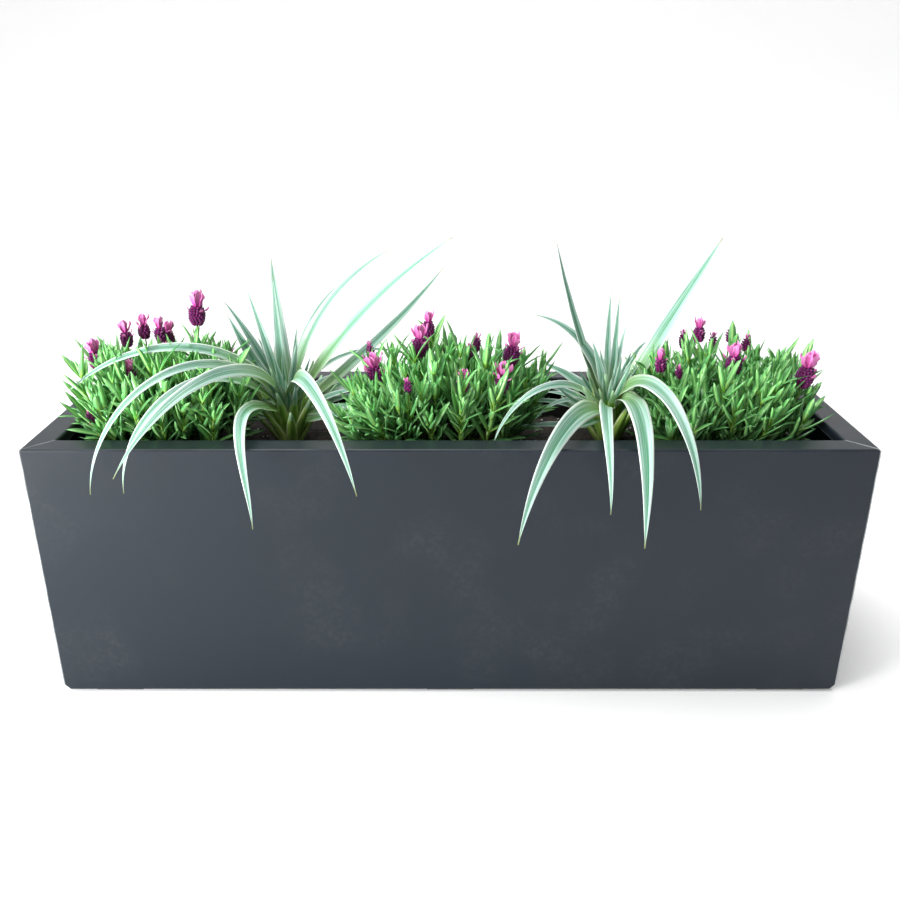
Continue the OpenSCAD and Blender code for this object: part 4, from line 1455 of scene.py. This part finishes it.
    def add_head(self, spikes: MeshPile, bracts: MeshPile, stems: MeshPile, head: Head,
                 rng: np.random.Generator) -> None:
        """Adds one flower head on its stalk.

        Args:
            spikes: The mesh its studded spike goes to.
            bracts: The mesh its bracts go to.
            stems: The mesh its stalk goes to.
            head: Where it stands and its size.
            rng: The clump's own random numbers.
        """
        mid_x = CLUMP_MIDDLE[self.side]
        root = np.array([(head.x + mid_x) / 2, head.y / 2, 300.0]) * MM
        top = np.array([head.x, head.y, head.top]) * MM
        axis = unit(np.array([(top[0] - root[0]) * 0.25, (top[1] - root[1]) * 0.25, 0.10]))
        length = head.length * MM
        bud = head.length < 27
        spike = length * (0.70 if bud else 0.54)
        low = top - axis * length
        bend = low - axis * 0.05
        stalk = bezier(root, bend, low + axis * 2 * MM, 14)
        stems.tube(stalk, np.linspace(1.25, 0.95, 14) * MM, rng.random(), 7)
        wide = (0.27 if bud else 0.34) * spike * (1.10 if head.length > 38 else 1.0)
        _, side, out = (v[0] for v in stem_frame(np.stack([low, low + axis * MM, low + axis * 2 * MM])))
        core = np.stack([side * wide * 0.78, out * wide * 0.78, axis * spike * 0.5])
        spikes.lump(low + axis * spike * 0.5, core, 0.1, 7, 10)
        rows = max(5, int(spike / (2.9 * MM)))
        for i in range(rows):
            up = (i + 0.5) / rows
            girth = wide * math.sin(math.pi * (0.12 + 0.78 * up)) ** 0.6
            count = max(5, int(girth * math.tau / (4.0 * MM)))
            for k in range(count):
                turn = (k + 0.5 * (i % 2)) * math.tau / count
                ray = side * math.cos(turn) + out * math.sin(turn)
                size = rng.uniform(0.85, 1.2) * (1.75 if not bud else 1.3) * MM
                place = low + axis * spike * up + ray * girth * 0.94
                lean = unit(ray * 0.75 + axis * 0.65)
                across = unit(np.cross(lean, axis))
                axes = np.stack([across * size, np.cross(lean, across) * size, lean * size * 1.7])
                spikes.lump(place, axes, rng.random(), 4, 6)
        top_ring = low + axis * spike * 0.93
        count = 4 if bud else int(rng.integers(7, 10))
        reach = length - spike * 0.93
        for k in range(count):
            turn = k * math.tau / count + rng.uniform(-0.35, 0.35)
            ray = side * math.cos(turn) + out * math.sin(turn)
            tall = reach * rng.uniform(0.78, 1.0) if k else reach
            self.add_bract(bracts, top_ring + ray * wide * 0.15, axis, ray, tall,
                           tall * rng.uniform(0.36, 0.58), math.radians(rng.uniform(8, 46)), rng)
        if not bud:
            for k in range(5):
                turn = rng.uniform(0, math.tau)
                ray = side * math.cos(turn) + out * math.sin(turn)
                place = low + axis * spike * rng.uniform(0.55, 0.95) + ray * wide * 0.9
                self.add_bract(bracts, place, axis, ray, reach * rng.uniform(0.3, 0.45),
                               reach * rng.uniform(0.2, 0.3), math.radians(rng.uniform(35, 75)), rng)

    def build(self) -> None:
        """Builds the clump and ties it to the liner."""
        name = self.side.value
        rng = np.random.default_rng({Side.LEFT: 201, Side.CENTRE: 202, Side.RIGHT: 203}[self.side])
        leaves, shoots = self.foliage()
        spikes, bracts, stalks = MeshPile(), MeshPile(), MeshPile()
        for head in HEADS[self.side]:
            self.add_head(spikes, bracts, stalks, head, rng)
        spike_piece = spikes.build(f"lavender_{name}_spikes")
        bract_piece = bracts.build(f"lavender_{name}_bracts")
        stalk_piece = stalks.build(f"lavender_{name}_stalks")
        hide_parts(f"lavender_{name}_foliage")
        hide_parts(f"lavender_{name}_flowers")
        for piece, finish, slot in (
                (leaves, LAVENDER_LEAF, "lavender_leaf"), (shoots, STEM, "lavender_leaf"),
                (stalk_piece, STEM, "lavender_leaf"), (spike_piece, CALYX, "lavender_flower"),
                (bract_piece, BRACT, "lavender_flower")):
            piece.data.materials.append(finish.make(piece.name, self.effects))
            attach(piece, "liner")


# ---- studio ---------------------------------------------------------------------------


@dataclass
class Studio:
    """A pale floor, soft lights and the camera."""

    camera_place: tuple[float, float, float] = (0.0, -1.1145, 0.7365)
    camera_pitch: float = 22.4
    lens: float = 36.0
    floor_half: float = 12.0
    wall_back: float = 4.0
    wall_height: float = 5.0
    cove: float = 1.5

    def floor(self) -> None:
        """Builds the plain pale floor, which curves up into a backdrop."""
        profile = [(-self.floor_half, 0.0), (0.0, 0.0), (self.wall_back - self.cove, 0.0)]
        for k in range(1, 13):
            turn = math.pi / 2 * k / 12
            profile.append((self.wall_back - self.cove + self.cove * math.sin(turn),
                            self.cove - self.cove * math.cos(turn)))
        profile.append((self.wall_back, self.wall_height))
        mesh = bmesh.new()
        across = (-self.floor_half, 0.0, self.floor_half)
        rows = [[mesh.verts.new((x, y, z)) for x in across] for y, z in profile]
        for low, high in zip(rows, rows[1:]):
            for k in range(2):
                mesh.faces.new((low[k], low[k + 1], high[k + 1], high[k]))
        data = bpy.data.meshes.new("floor")
        mesh.to_mesh(data)
        mesh.free()
        data.shade_smooth()
        ground = bpy.data.objects.new("floor", data)
        bpy.context.scene.collection.objects.link(ground)
        sheet = PaintSheet("floor")
        pale = sheet.tint(sheet.grain(0.4, 3.0), (0.90, 0.90, 0.90), (0.93, 0.93, 0.93))
        sheet.surface({"Base Color": pale, "Roughness": 0.9, "Specular IOR Level": 0.1})
        data.materials.append(sheet.material)

    def sky(self) -> None:
        """Makes the room's light: bright above and to the left, dim behind the camera to the right."""
        world = bpy.data.worlds.new("studio")
        world.use_nodes = True
        sheet = ShaderSheet(world.node_tree)
        way = sheet.node("ShaderNodeSeparateXYZ", {0: sheet.node("ShaderNodeTexCoord").outputs["Generated"]})
        x, y, z = way.outputs
        left = sheet.math("MULTIPLY", x, -0.75)
        back = sheet.math("MULTIPLY", y, 0.35)
        lit = sheet.math("ADD", sheet.math("ADD", left, back), sheet.math("MULTIPLY", z, 0.55))
        strength = sheet.ramp(sheet.math("ADD", lit, 0.45), [(0.0, 0.08), (0.35, 0.34), (0.9, 1.0)])
        back_node = world.node_tree.nodes["Background"]
        back_node.inputs["Color"].default_value = (1, 1, 1, 1)
        world.node_tree.links.new(sheet.math("MULTIPLY", strength, 1.15), back_node.inputs["Strength"])
        bpy.context.scene.world = world

    def lamp(self, name: str, place: Place, aim: Place, size: float, power: float) -> None:
        """Adds a soft square lamp.

        Args:
            name: Its name.
            place: Where it hangs.
            aim: What it points at.
            size: Its side in metres.
            power: In watts.
        """
        data = bpy.data.lights.new(name, "AREA")
        data.size = size
        data.energy = power
        lamp = bpy.data.objects.new(name, data)
        lamp.location = place
        way = Vector(aim) - Vector(place)
        lamp.rotation_euler = way.to_track_quat("-Z", "Y").to_euler()
        bpy.context.scene.collection.objects.link(lamp)

    def build(self) -> None:
        """Builds the floor, sky, lamps and camera."""
        scene = bpy.context.scene
        self.floor()
        self.sky()
        self.lamp("low_left", (-1.6, -1.3, 0.55), (-0.62, -0.40, 0.0), 0.6, 62)
        self.lamp("top", (-0.5, 0.4, 2.6), (0, 0, 0.35), 1.2, 24)
        sun = bpy.data.lights.new("soft_sun", "SUN")
        sun.energy = 1.3
        sun.angle = math.radians(70)
        high = bpy.data.objects.new("soft_sun", sun)
        high.rotation_euler = (math.radians(4), math.radians(-22), 0)
        scene.collection.objects.link(high)
        camera = bpy.data.cameras.new("camera")
        camera.lens = self.lens
        camera.sensor_width = 36.0
        camera.sensor_fit = "HORIZONTAL"
        camera.clip_end = 60
        eye = bpy.data.objects.new("camera", camera)
        eye.location = self.camera_place
        eye.rotation_euler = (math.radians(90 - self.camera_pitch), 0, 0)
        scene.collection.objects.link(eye)
        scene.camera = eye
        scene.view_settings.view_transform = "Standard"


def main() -> None:
    """Dresses the frame, plants the trough and sets up the studio."""
    logging.basicConfig(level=logging.INFO, format="%(name)s: %(message)s")
    effects = Effects.make()
    log.info("carried nodes dressed: %d", CarriedNodes(effects).dress())
    GrowingMedium(effects).build()
    log.info("growing medium built")
    for side, blades in ((Side.LEFT, BLADES_LEFT), (Side.RIGHT, BLADES_RIGHT)):
        leaves = SilverRosette(side, blades, effects).build()
        log.info("rosette %s: %d faces", side.value, len(leaves.data.polygons))
    for side in Side:
        LavenderClump(side, effects).build()
        log.info("lavender %s built", side.value)
    Studio().build()
    log.info("studio built")


if __name__ == "__main__":
    main()
